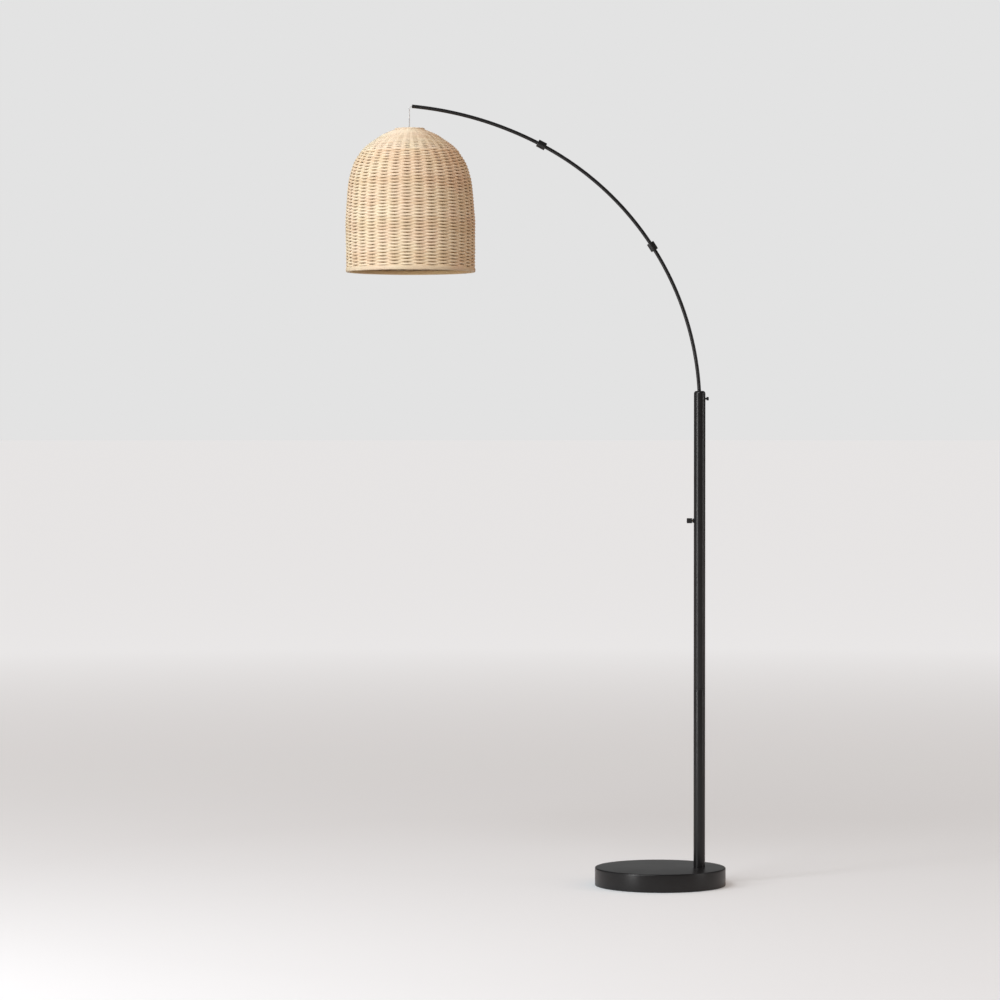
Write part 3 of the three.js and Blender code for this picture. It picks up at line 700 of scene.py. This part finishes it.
# %% [markdown]
# ## Growing a piece from a tree
# An object holds the outline as a line of edges, and a modifier runs the tree on it. The finished
# mesh is then taken from the evaluated object, and the modifier goes, so that the piece is a plain
# mesh like the others. The bell is the first piece grown this way. It starts just behind the rim
# and stops at the change line.

# %% Growing a piece from a tree
def grown(name, outline, tree, **values):
    """Runs a tree on a line of (radius, height) points, and keeps the mesh that it makes"""
    edges = [(at, at + 1) for at in range(len(outline) - 1)]
    obj = make_object(name, [(radius, 0, height) for radius, height in outline], [], edges)
    modifier = obj.modifiers.new("grow", "NODES")
    modifier.node_group = tree
    for socket in tree.interface.items_tree:
        key = socket.name.lower().replace(" ", "_")
        if key in values:
            modifier[socket.identifier] = values[key]
    depsgraph = bpy.context.evaluated_depsgraph_get()
    result = bpy.data.meshes.new_from_object(
        obj.evaluated_get(depsgraph), preserve_all_data_layers=True, depsgraph=depsgraph)
    obj.modifiers.clear()
    obj.data = result
    result.name = name
    return obj


stake_count = 32
start_angle = math.radians(180 - 91.6)


def woven(name, line, pitch, strand, **values):
    """Weaves a stretch of the wall with as many rows as fit on it"""
    turns = round((length_of(line) / pitch - 1) / 2)
    piece = grown(
        name, line, weave, row_pitch=pitch, strand_depth=2 * strand, flat_radius=flat_radius,
        full_radius=full_radius, axis_x=pendant_x, start_angle=start_angle, turns=turns,
        stakes=stake_count, points_per_stake=5, sides=6, **values,
    )
    print(name, "has", turns * 2, "rows and", len(piece.data.polygons) * 2, "triangles")
    return piece


bell_pitch, bell_strand, bell_swing = 3.52 * MM, 1.75 * MM, 2.0 * MM
set_back = 0.2 * MM  # of the weave from the outline
above_rim = 2.5 * MM  # where the first row starts
bell_line = moved_in(outer_line, bell_strand + set_back, bell_swing)
bell_line = bell_line[bell_line[:, 1] <= change_height]
bell_line = np.vstack([(bell_line[0, 0], low_of("rim_hoop").z + above_rim), bell_line])
bell_weave = woven(
    "shade_weave", bell_line, bell_pitch, bell_strand, strand_height=5 * MM, swing=bell_swing,
    dip_sharpness=0.5, unevenness=1.7 * MM, seed=3, material=weft_core,
)

# %% [markdown]
# ## The crown's weave
# The crown goes on with the same tree and finer sizes. Its first row starts one gap above the last
# row of the bell. Both spirals start at the back, so that the step where they begin stays out of
# sight.

# %% The crown's weave
def part_of_line(line, low, high):
    """The stretch of a line from one length along it to another"""
    lengths = np.concatenate([[0], np.cumsum(np.linalg.norm(np.diff(line, axis=0), axis=1))])
    marks = np.linspace(low, min(high, lengths[-1]), 240)
    return np.stack([np.interp(marks, lengths, line[:, axis]) for axis in (0, 1)], axis=1)


crown_pitch, crown_strand, crown_swing = 2.75 * MM, 1.4 * MM, 1.35 * MM
crown_gap = 4.7 * MM  # from the bell's last turn to the crown's first row
crown_line = moved_in(outer_line, crown_strand, crown_swing)
below_change = length_of(crown_line[crown_line[:, 1] <= change_height])
crown_start = below_change - 2 * bell_pitch + crown_gap
crown_line = part_of_line(crown_line, crown_start, length_of(crown_line))
crown_weave = woven(
    "crown_weave", crown_line, crown_pitch, crown_strand, strand_height=3.4 * MM,
    swing=crown_swing, dip_sharpness=0.6, unevenness=0.7 * MM, seed=8, material=crown_core_painted_lit,
)

# %% [markdown]
# ## The stakes
# Thirty-two upright canes carry the weave. They are thin and flat, and painted darker than the
# strands: painted shade, for the shadow in the gaps where they show between rows. Each follows the
# middle of the wall, from the rim over the shoulder to the crown. A second tree makes copies of the
# outline, turns each one to its place and sweeps a flat oval along it. The oval is drawn five times
# too large and swept at a fifth, so the streaks on it are five times finer too.

# %% The stakes
def stake_tree():
    tree, given, outputs = new_tree(
        "stakes", ["Oval Width", "Oval Depth", "Sweep Scale", "Axis X", "Start Angle"],
        ["Stakes", "Sides", "Seed"])
    outline = grow(tree, "MeshToCurve", mesh=given["Outline"])
    copies = grow(
        tree, "DuplicateElements", {"domain": "SPLINE"}, geometry=outline,
        amount=given["Stakes"])
    which = output_of(copies, "Duplicate Index")
    full_turn = calc(tree, "DIVIDE", 2 * math.pi, given["Stakes"])
    angle = calc(tree, "MULTIPLY_ADD", which, full_turn, given["Start Angle"])
    radius, _, height = parts_of(tree, grow(tree, "InputPosition"))
    along = output_of(grow(tree, "SplineParameter"), "Length")
    marked = stored(tree, copies, "along", along)
    marked = stored(tree, marked, "tone", random_tone(tree, which, given["Seed"]))
    laid = grow(
        tree, "SetPosition", geometry=marked,
        position=round_the_axis(tree, radius, height, angle, given["Axis X"]))
    sideways = vector_of(
        tree, calc(tree, "MULTIPLY", calc(tree, "SINE", angle), -1.0),
        calc(tree, "COSINE", angle))
    turned_flat = grow(tree, "SetCurveNormal", {"mode": "FREE"}, curve=laid, normal=sideways)
    sweep_oval(
        tree, outputs, turned_flat, given, given["Oval Width"], given["Oval Depth"],
        scale=given["Sweep Scale"], fill_caps=True)
    return tree


stake_line = moved_in(outer_line, bell_strand, bell_swing)
stake_line = part_of_line(stake_line, 0, length_of(stake_line))[::4]
stakes = grown(
    "shade_stakes", stake_line, stake_tree(), oval_width=5 * MM, oval_depth=2.8 * MM,
    sweep_scale=0.2, axis_x=pendant_x, start_angle=start_angle, stakes=stake_count, sides=8,
    seed=5, material=stake_core_painted_shade,
)
print(stake_count, "stakes,", len(stakes.data.polygons) * 2, "triangles")

# %% [markdown]
# ## The rim and the crown's rings
# The rim is bound between two flat split canes with a round core under the last row. The inner cane
# is painted a little browner: painted light, for the warm light bounced about inside the shade. The
# crown rests on two thin rings above its plate. Split cane is never quite round: each hoop sways by
# a few tenths of a millimetre. A third tree bends a hoop of any oval section. The finished basket
# hangs a millimetre or two aside of the cord, as woven ones do.

# %% The rim and the crown's rings
def hoop_tree():
    tree, given, outputs = new_tree(
        "cane hoop", ["Hoop Radius", "Centre Height", "Section Depth", "Section Height", "Axis X",
                      "Sway"], ["Steps", "Sides", "Seed"])
    circle = grow(
        tree, "CurvePrimitiveCircle", resolution=given["Steps"], radius=given["Hoop Radius"])
    place = grow(tree, "InputPosition")
    wander = noise(tree, place, 60 * MM, 1.0, seed=given["Seed"])
    swayed = uneven(tree, place, wander, given["Sway"])
    centre = vector_of(tree, given["Axis X"], 0.0, given["Centre Height"])
    along = output_of(grow(tree, "SplineParameter"), "Length")
    marked = stored(tree, circle, "along", along)
    marked = stored(tree, marked, "tone", output_of(wander, "Fac"))
    laid = grow(
        tree, "SetPosition", geometry=marked, position=vector_calc(tree, "ADD", swayed, centre))
    upright = grow(tree, "SetCurveNormal", {"mode": "Z_UP"}, curve=laid)
    sweep_oval(
        tree, outputs, upright, given, given["Section Depth"], given["Section Height"],
        fill_caps=False)
    return tree


hoop = hoop_tree()
rim_radius = outline_corners[0][0]
rim_foot = low_of("rim_hoop").z
plate_foot, plate_top = ends_of("fitter_plate")
ring_height = plate_top + 1.2 * MM
hoops = {  # each with its radius, its height, its section's depth and height, and its seed
    "rim_outer_cane": (rim_radius - 0.9 * MM, rim_foot + 5 * MM, 2.6 * MM, 9 * MM, 2),
    "rim_inner_cane": (rim_radius - 8 * MM, rim_foot + 5 * MM, 2.2 * MM, 8.6 * MM, 4),
    "rim_core": (rim_radius - 4.3 * MM, rim_foot + 2.6 * MM, 4.8 * MM, 4.6 * MM, 6),
    "crown_outer_ring": (31 * MM, ring_height, 2.4 * MM, 2.4 * MM, 7),
    "crown_inner_ring": (22.5 * MM, ring_height, 2.4 * MM, 2.4 * MM, 9),
}
rim_pieces = [
    grown(
        name, [(0, 0), (1, 0)], hoop, hoop_radius=radius, centre_height=height,
        section_depth=depth, section_height=tall, axis_x=pendant_x, sway=0.6 * MM,
        steps=180 if radius > crown_radius else 64, sides=14, seed=seed,
        material=inner_cane_painted_bounce if name == "rim_inner_cane" else rim_cane,
    )
    for name, (radius, height, depth, tall, seed) in hoops.items()
]
aside, slope = 1.0 * MM, 0.006  # at the crown, and more for each metre below it
for piece in [bell_weave, crown_weave, stakes, *rim_pieces]:
    for corner in piece.data.vertices:
        corner.co.x += aside + (bell_top - corner.co.z) * slope
    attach(piece, "pendant")
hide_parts("shade")
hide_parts("rim_hoop")
print(len(rim_pieces), "hoops, the rim is", round(2 * rim_radius / MM), "mm across")

# %% [markdown]
# ## Turned shapes
# Most of the metal and moulded parts were turned on a lathe or drawn as tube, so they are outlines
# of radius and height that go once round an axis. Each outline is a list of corners, and a corner
# may have a third number, the size of its rounding. The rounded edge is what catches the light.

# %% Turned shapes
LARGEST_SHARE = 0.48  # of a side that a rounding may take
ON_AXIS = 1e-9  # a radius below this is on the axis


def eased(corners, steps=5):
    """An outline whose corners are rounded where they give a size"""
    points = []
    for at, (radius, height, *size) in enumerate(corners):
        here = Vector((radius, height))
        if not size:
            points.append((radius, height))
            continue
        back = Vector(corners[at - 1][:2]) - here
        ahead = Vector(corners[(at + 1) % len(corners)][:2]) - here
        back = back.normalized() * min(size[0], back.length * LARGEST_SHARE)
        ahead = ahead.normalized() * min(size[0], ahead.length * LARGEST_SHARE)
        for step in range(steps + 1):
            share = step / steps
            points.append(tuple(here + back * (1 - share) ** 2 + ahead * share**2))
    return points


def turned(name, corners, centre=(0, 0, 0), aim=(0, 0, 1), sides=64, flutes=0, flute_depth=0.0,
           fluted_beyond=0.0):
    """Turns an anticlockwise outline about an axis, with flutes beyond a radius if asked"""
    outline = eased(corners)
    turn = Vector((0, 0, 1)).rotation_difference(Vector(aim))
    points, rings, faces = [], [], []
    for radius, height in outline:
        if radius < ON_AXIS:
            rings.append([len(points)] * sides)
            points.append((0, 0, height))
            continue
        rings.append(list(range(len(points), len(points) + sides)))
        for side in range(sides):
            angle = 2 * math.pi * side / sides
            size = radius
            if flutes and radius > fluted_beyond:
                size -= flute_depth * (0.5 - 0.5 * math.cos(angle * flutes))
            points.append((size * math.cos(angle), size * math.sin(angle), height))
    pairs = list(zip(rings, rings[1:]))
    if outline[0][0] > 0:
        pairs.append((rings[-1], rings[0]))
    for low, high in pairs:
        for side in range(sides):
            after = (side + 1) % sides
            around = [low[side], low[after], high[after], high[side]]
            kept = [corner for n, corner in enumerate(around) if corner not in around[:n]]
            if len(kept) > 2:
                faces.append(kept)
    obj = make_object(name, [turn @ Vector(point) + Vector(centre) for point in points], faces)
    smooth(obj)
    return obj


def finish_piece(obj, body, slot, *nodes):
    """Gives a piece the finish of its slot, puts it in its body, and hides the solids that it
    dresses
    """
    obj.data.materials.append(finish_of[slot])
    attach(obj, body)
    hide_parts(*nodes)
    print(obj.name, "has", len(obj.data.polygons), "faces")


def turned_piece(name, body, slot, node, corners, **shape):
    finish_piece(turned(name, corners, **shape), body, slot, node)


# %% [markdown]
# ## The base
# A shallow steel pan, spun over a former, covers the cement weight. Spinning leaves a 3 mm radius
# at the top edge and a thin turned edge just off the floor. At the back, a moulded grommet lines
# the hole for the mains lead: a neck through the wall between two flanges.

# %% The base
base_radius, base_wall = radius_of("base_cover"), 1.2 * MM
base_foot, base_top = ends_of("base_cover")
turned_piece("base_pan", "stand", "black_enamel", "base_cover", [
    (0, base_top - base_wall), (base_radius - base_wall, base_top - base_wall, 1.8 * MM),
    (base_radius - base_wall, base_foot), (base_radius, base_foot, 0.5 * MM),
    (base_radius, base_top, 3 * MM), (0, base_top),
], sides=160)

flange = high_of("lead_grommet").y
lead_bore, neck, inner_flange, outer_flange = 3.4 * MM, 5.5 * MM, 7.3 * MM, 8 * MM
turned_piece("mains_grommet", "stand", "black_plastic", "lead_grommet", [
    (lead_bore, flange - 6.9 * MM), (inner_flange, flange - 6.9 * MM, 0.4 * MM),
    (inner_flange, flange - 5.1 * MM), (neck, flange - 5.1 * MM), (neck, flange - 1.8 * MM),
    (outer_flange, flange - 1.8 * MM, 0.3 * MM), (outer_flange, flange, 0.9 * MM),
    (lead_bore, flange, 0.9 * MM),
], centre=(0, 0, middle("lead_grommet").z), aim=(0, 1, 0))

# %% [markdown]
# ## The pole
# Two lengths of 25 mm tube meet on an inner sleeve, so only a hairline shows between them. The cap
# is a turned plug with a domed shoulder, 5 mm across and 6.5 mm high, and its bore lets the arm's
# stem slide and turn.

# %% The pole
pole_wall = 1.5 * MM
for name, node in (("pole_lower_tube", "lower_pole"), ("pole_upper_tube", "upper_pole")):
    low, high = ends_of(node)
    turned_piece(name, "stand", "black_enamel", node, [
        (pole_radius - pole_wall, low), (pole_radius, low, 0.2 * MM),
        (pole_radius, high, 0.2 * MM), (pole_radius - pole_wall, high),
    ], centre=(pole_x, 0, 0), sides=96)

cap_low, cap_high = ends_of("pole_cap")
cap_bore, plug_radius = 5.35 * MM, 10.9 * MM
cap_seat = high_of("upper_pole").z + 0.1 * MM
shoulder_depth, shoulder_height = 5 * MM, 6.5 * MM
cap_shoulder = [
    (pole_radius - shoulder_depth * (1 - math.cos(math.radians(angle))),
     cap_high - shoulder_height * (1 - math.sin(math.radians(angle))))
    for angle in range(0, 91, 15)
]
turned_piece("pole_top_cap", "stand", "black_enamel", "pole_cap", [
    (cap_bore, cap_low), (plug_radius, cap_low, 0.5 * MM), (plug_radius, cap_seat),
    (pole_radius, cap_seat, 0.2 * MM), *cap_shoulder, (cap_bore, cap_high, 0.6 * MM),
], centre=(pole_x, 0, 0), sides=96)

# %% [markdown]
# ## The arm
# The arm is 8 mm tube in three sections. The first runs straight up through the pole's cap and then
# bends, and the others go on along their own arcs. Adding arc after arc gives any place along it,
# so the tubes, the collars and the tip all use one function.

# %% The arm
stem_foot = low_of("lower_arm").z
bend_start = cap_high - 36 * MM
arm_bends = [(651 * MM, 32.85), (651 * MM, 29.4), (766 * MM, 22.3)]  # radius, degrees
arm_radius, arm_bore, arm_step = 4 * MM, 3.1 * MM, 7 * MM


def arm_place(distance):
    """The place on the arm's middle line at a distance from its foot, and its lean from upright"""
    straight = bend_start - stem_foot
    x, z, lean, left = pole_x, stem_foot + min(distance, straight), 0.0, distance - straight
    for radius, angle in arm_bends:
        if left <= 0:
            break
        turn = min(left / radius, math.radians(angle))
        x -= radius * (math.cos(lean) - math.cos(lean + turn))
        z += radius * (math.sin(lean + turn) - math.sin(lean))
        lean += turn
        left -= radius * turn
    return Vector((x, 0, z)), lean


def aimed_along(lean):
    return (-math.sin(lean), 0, math.cos(lean))


stops = [bend_start - stem_foot]
for radius, angle in arm_bends:
    stops.append(stops[-1] + radius * math.radians(angle))
fit = 0.3 * MM  # that each tube stops short of its collar's middle
stretches = {
    "lower_arm": (0, stops[1] - fit), "middle_arm": (stops[1] + fit, stops[2] - fit),
    "upper_arm": (stops[2] + fit, stops[3]),
}
for node, (start, end) in stretches.items():
    steps = max(2, round((end - start) / arm_step))
    line = [arm_place(start + (end - start) * step / steps)[0] for step in range(steps + 1)]
    tube = swept(node + "_tube", line, [arm_radius] * len(line), bore=arm_bore)
    finish_piece(tube, "arm", "black_enamel", node)
print("the arm is", round(stops[3] / MM), "mm of tube")

# %% [markdown]
# ## Collars and tip
# Each collar is a turned sleeve that screws onto a ferrule on the next tube, so the arm comes apart
# for its box. Its ends are chamfered. The tip has a small plastic lip that keeps the tube's edge
# off the cord.

# %% Collars and tip
tube_hole, ferrule_hole, collar_radius, collar_half = 4.3 * MM, 6.6 * MM, 8.4 * MM, 9.7 * MM
for node, stop in (("lower_collar", stops[1]), ("upper_collar", stops[2])):
    place, lean = arm_place(stop)
    turned_piece(node + "_sleeve", "arm", "black_enamel", node, [
        (tube_hole, -collar_half), (collar_radius, -collar_half, 1.1 * MM),
        (collar_radius, collar_half, 1.1 * MM), (ferrule_hole, collar_half, 0.3 * MM),
        (ferrule_hole, 0), (tube_hole, 0),
    ], centre=place, aim=aimed_along(lean))

place, lean = arm_place(stops[3])
tip_bore, tip_plug, tip_lip = 1.6 * MM, 2.75 * MM, 4.2 * MM
turned_piece("arm_tip_bush", "arm", "black_plastic", "tip_bush", [
    (tip_bore, -8 * MM), (tip_plug, -8 * MM), (tip_plug, 0.1 * MM),
    (tip_lip, 0.1 * MM, 0.2 * MM), (tip_lip, 0.7 * MM, 0.4 * MM),
    (tip_bore, 0.7 * MM, 0.3 * MM),
], centre=place, aim=aimed_along(lean))

# %% [markdown]
# ## Switch knob, ring nut and thumb screw
# Fingers turn all three, so all have a grip: fine flutes moulded along the knob and its black ring
# nut, and a knurl cut round the screw's head. The turned outline gets its flutes from a cosine wave
# on the radius.

# %% Switch knob, ring nut and thumb screw
switch_z = middle("switch_knob").z
knob_in, knob_out = -high_of("switch_knob").x, -low_of("switch_knob").x
knob_radius, spindle_hole, hole_depth = radius_of("switch_knob"), 2.3 * MM, 8 * MM
knob_face = knob_out - 0.3 * MM
turned_piece("switch_grip", "switch_rotor", "black_plastic", "switch_knob", [
    (0, knob_in + hole_depth), (spindle_hole, knob_in + hole_depth), (spindle_hole, knob_in),
    (knob_radius, knob_in, 0.4 * MM), (knob_radius, knob_out, 1.0 * MM),
    (knob_radius * 0.72, knob_out, 0.4 * MM), (knob_radius * 0.6, knob_face, 0.3 * MM),
    (0, knob_face),
], centre=(0, 0, switch_z), aim=(-1, 0, 0), sides=144, flutes=24, flute_depth=0.4 * MM,
    fluted_beyond=knob_radius * 0.9)

nut_in, nut_out = -high_of("switch_nut").x, -low_of("switch_nut").x
nut_radius, nut_bore = radius_of("switch_nut"), 3.9 * MM
turned_piece("switch_ring_nut", "stand", "black_plastic", "switch_nut", [
    (nut_bore, nut_in), (nut_radius, nut_in, 0.3 * MM), (nut_radius, nut_out, 0.3 * MM),
    (nut_bore, nut_out, 0.2 * MM),
], centre=(0, 0, switch_z), aim=(-1, 0, 0), sides=96, flutes=16, flute_depth=0.3 * MM,
    fluted_beyond=4.6 * MM)

screw_low, screw_high = low_of("thumb_screw").x, high_of("thumb_screw").x
head_radius, head_foot, shank = radius_of("thumb_screw"), screw_high - 4.8 * MM, 2 * MM
turned_piece("thumb_screw_head", "clamp_screw", "black_enamel", "thumb_screw", [
    (0, screw_low), (shank, screw_low, 0.4 * MM), (shank, head_foot, 0.3 * MM),
    (head_radius, head_foot, 0.6 * MM), (head_radius, screw_high, 0.8 * MM), (0, screw_high),
], centre=(0, 0, middle("thumb_screw").z), aim=(1, 0, 0), sides=144, flutes=24,
    flute_depth=0.35 * MM, fluted_beyond=head_radius * 0.85)

# %% [markdown]
# ## Grip, plate and lampholder
# The cord hangs the shade by a moulded grip, whose thread goes through the plate under the crown
# and into the lampholder's domed cap. The holder's skirt has coarse rings, which on the real one
# hold a shade ring. They are a row of small waves in its outline.

# %% Grip, plate and lampholder
on_axis = (pendant_x, 0, 0)
grip_low, grip_high = ends_of("cord_grip")
grip_seat = grip_low + 10 * MM
grip_step = grip_seat + 2.4 * MM
grip_bore, grip_thread, grip_flange, grip_neck = 1.6 * MM, 5 * MM, 7.5 * MM, 3.6 * MM
turned_piece("cord_grip_screw", "pendant", "white_nylon", "cord_grip", [
    (grip_bore, grip_low), (grip_thread, grip_low, 0.4 * MM), (grip_thread, grip_seat),
    (grip_flange, grip_seat, 0.3 * MM), (grip_flange, grip_step, 0.6 * MM),
    (grip_neck, grip_step), (grip_neck, grip_high, 0.5 * MM), (grip_bore, grip_high, 0.3 * MM),
], centre=on_axis)

plate_radius, thread_hole = radius_of("fitter_plate"), 5.3 * MM
turned_piece("crown_plate", "pendant", "zinc_steel", "fitter_plate", [
    (thread_hole, plate_foot), (plate_radius, plate_foot, 0.4 * MM),
    (plate_radius, plate_top, 0.4 * MM), (thread_hole, plate_top),
], centre=on_axis, sides=96)

holder_radius, holder_wall = radius_of("lampholder"), 1.8 * MM
cap_foot, cap_head = ends_of("holder_cap")
turned_piece("lampholder_cap", "pendant", "black_plastic", "holder_cap", [
    (holder_radius - holder_wall, cap_foot), (holder_radius, cap_foot, 0.4 * MM),
    (holder_radius, cap_head, 11 * MM), (thread_hole, cap_head),
    (thread_hole, cap_head - holder_wall),
    (holder_radius - holder_wall, cap_head - holder_wall, 9.2 * MM),
], centre=on_axis, sides=96)

holder_foot, holder_head = ends_of("lampholder")
ring_pitch, ring_depth, skirt_bore = 3 * MM, 0.8 * MM, 13.7 * MM
waves = []
for wave in range(8):
    crest = holder_foot + ring_pitch * (wave + 1)
    waves += [(holder_radius, crest, 0.5 * MM),
              (holder_radius - ring_depth, crest + ring_pitch / 2, 0.5 * MM)]
turned_piece("lampholder_skirt", "pendant", "black_plastic", "lampholder", [
    (0, holder_head - 4 * MM), (skirt_bore, holder_head - 4 * MM),
    (skirt_bore, holder_foot, 0.4 * MM), (holder_radius, holder_foot, 0.8 * MM), *waves,
    (holder_radius, holder_head, 0.4 * MM), (0, holder_head),
], centre=on_axis, sides=96)

# %% [markdown]
# ## The lamp
# An opal globe lamp: a collar that widens from the screw cap, and a thin blown globe on it. Both
# are hollow or rounded shapes of revolution, and the globe's outline is an arc inside and outside.

# %% The lamp
collar_foot, collar_head = ends_of("lamp_collar")
collar_wide, collar_narrow = radius_of("lamp_collar"), radius_of("lamp_cap")
turned_piece("lamp_shoulder", "pendant", "opal_plastic", "lamp_collar", [
    (0, collar_foot), (collar_wide, collar_foot, 0.8 * MM),
    (collar_wide - 1.2 * MM, (collar_foot + collar_head) / 2, 9 * MM),
    (collar_narrow, collar_head - 2 * MM, 3 * MM), (collar_narrow, collar_head, 0.3 * MM),
    (0, collar_head),
], centre=on_axis, sides=96)

globe_radius, globe_wall, globe_steps = radius_of("lamp_globe"), 1.6 * MM, 40
globe_foot, globe_head = ends_of("lamp_globe")
globe_centre = globe_foot + globe_radius
highest = math.asin((globe_head - globe_centre) / globe_radius)
angles = [
    -math.pi / 2 + (highest + math.pi / 2) * step / globe_steps for step in range(globe_steps + 1)
]
outside = [
    (max(0, globe_radius * math.cos(a)), globe_centre + globe_radius * math.sin(a))
    for a in angles
]
shrink = (globe_radius - globe_wall) / globe_radius
inside = [
    (radius * shrink, globe_centre + (height - globe_centre) * shrink)
    for radius, height in outside
]
turned_piece("lamp_globe_shell", "pendant", "opal_plastic", "lamp_globe", [
    (0, outside[0][1]), *outside[1:], (outside[-1][0] - globe_wall, outside[-1][1]),
    *inside[-2:0:-1], (0, inside[0][1]),
], centre=on_axis, sides=96)

# %% [markdown]
# ## Floor and surroundings
# The lamp stands on a seamless pale floor in a plain grey studio. The floor is matt, so it takes
# the lamp's shadow. Away from the lights it would go dark and end in a line, so it also glows,
# more and more with the distance from the lamp to all sides, until it meets the backdrop. Only a
# look straight at it shows the glow. The camera sees a backdrop of one pale grey. Mirrors see a
# room with a dark band, which gives the black tubes their dark edges. The light that falls on
# things from all round is even, and warmer from the right.

# %% Floor and surroundings
BACKDROP = "E3E3E3"
FLOOR_GLOW = "747879", "B9BEC1"  # near and far, a little cool against the warm light
GLOW_REACH = 1.5, 9.0  # metres from the lamp where the tone starts and ends to change
ROOM = [(0.275, 36), (0.6, 125), (0.69, 125), (0.8, 22), (0.94, 22), (0.98, 140)]


def seen_directly(tree):
    """One where a camera, mirror or glass ray looks, and nought for light that falls on things"""
    rays = add_node(tree, "ShaderNodeLightPath")
    seen = calc(
        tree, "MAXIMUM", output_of(rays, "Is Camera Ray"), output_of(rays, "Is Glossy Ray"))
    return calc(tree, "MAXIMUM", seen, output_of(rays, "Is Transmission Ray"))


def tones(tree, value, stops):
    """A run of greys, given as pairs of a place along it and a screen grey from 0 to 255"""
    ramp = add_node(tree, "ShaderNodeValToRGB", inputs={"Fac": value})
    elements = ramp.color_ramp.elements
    for number, (place, grey) in enumerate(stops):
        element = elements[number] if number < 2 else elements.new(place)
        element.position = place
        element.color = linear("%02X%02X%02X" % (grey, grey, grey))
    return output_of(ramp, "Color")


def floor_material():
    material, tree = new_material("seamless_floor")
    away = vector_calc(tree, "LENGTH", object_place(tree))
    grey = mixed(tree, ranged(tree, away, *GLOW_REACH), *FLOOR_GLOW)
    rays = add_node(tree, "ShaderNodeLightPath")
    strength = calc(tree, "MULTIPLY_ADD", output_of(rays, "Is Glossy Ray"), -1.0, 1.0)
    glow = add_node(tree, "ShaderNodeEmission", inputs={"Color": grey, "Strength": strength})
    matt = add_node(tree, "ShaderNodeBsdfDiffuse", inputs={"Color": linear("DDE0E4")})
    shown = add_node(tree, "ShaderNodeAddShader", inputs={0: glow, 1: matt})
    plain = add_node(tree, "ShaderNodeBsdfDiffuse", inputs={"Color": linear("C8C8C8")})
    output(tree, add_node(tree, "ShaderNodeMixShader", inputs={
        0: seen_directly(tree), 1: plain, 2: shown,
    }))
    return material


floor_radius, floor_sides, floor_drop = 600.0, 96, 0.2 * MM
floor_edge = [
    (floor_radius * math.cos(2 * math.pi * side / floor_sides),
     floor_radius * math.sin(2 * math.pi * side / floor_sides), -floor_drop)
    for side in range(floor_sides)
]
floor = make_object("floor", floor_edge, [list(range(floor_sides))])
floor.data.materials.append(floor_material())

world = bpy.data.worlds.new("studio")
bpy.context.scene.world = world
world.use_nodes = True
world.node_tree.nodes.clear()
tree = world.node_tree
direction = output_of(add_node(tree, "ShaderNodeTexCoord"), "Generated")
sideways, forwards = parts_of(tree, direction)[:2]
rays = add_node(tree, "ShaderNodeLightPath")
room = tones(tree, ranged(tree, forwards, -1.0, 1.0), ROOM)
looked_at = mixed(tree, output_of(rays, "Is Camera Ray"), room, BACKDROP)
shown = add_node(tree, "ShaderNodeBackground", inputs={"Color": looked_at, "Strength": 1.0})
warm_side = ranged(tree, sideways, -0.2, 0.6, kind="SMOOTHSTEP")
fill = add_node(tree, "ShaderNodeBackground", inputs={
    "Color": mixed(tree, warm_side, "FFFFFF", "FFC08C"), "Strength": 0.43,
})
surroundings = add_node(tree, "ShaderNodeMixShader", inputs={
    0: seen_directly(tree), 1: fill, 2: shown,
})
add_node(tree, "ShaderNodeOutputWorld", inputs={"Surface": surroundings})
print("floor", 2 * floor_radius, "m across")

# %% [markdown]
# ## Lamps
# A large soft box hangs high at the left and gives the main light. A tall strip stands low at the
# left, and a weak one at the right. They give the pole its two bright streaks with a dark line
# between them, and the shade its pale left side.

# %% Lamps
def soft_box(name, place, size, watts):
    data = bpy.data.lights.new(name, "AREA")
    data.shape = "RECTANGLE"
    data.size, data.size_y = size
    data.energy = watts
    lamp = bpy.data.objects.new(name, data)
    lamp.location = place
    target = Vector((-0.25, 0, 1.0))
    lamp.rotation_euler = (target - Vector(place)).to_track_quat("-Z", "Y").to_euler()
    bpy.context.scene.collection.objects.link(lamp)


soft_box("key_light", (-2.35, -3.1, 4.7), (2.2, 2.2), 118)
soft_box("left_strip", (-3.2, -2.5, 1.45), (0.85, 2.8), 60)
soft_box("right_strip", (3.8, -1.2, 1.5), (0.5, 2.8), 20)
print(len(bpy.data.lights), "soft boxes")
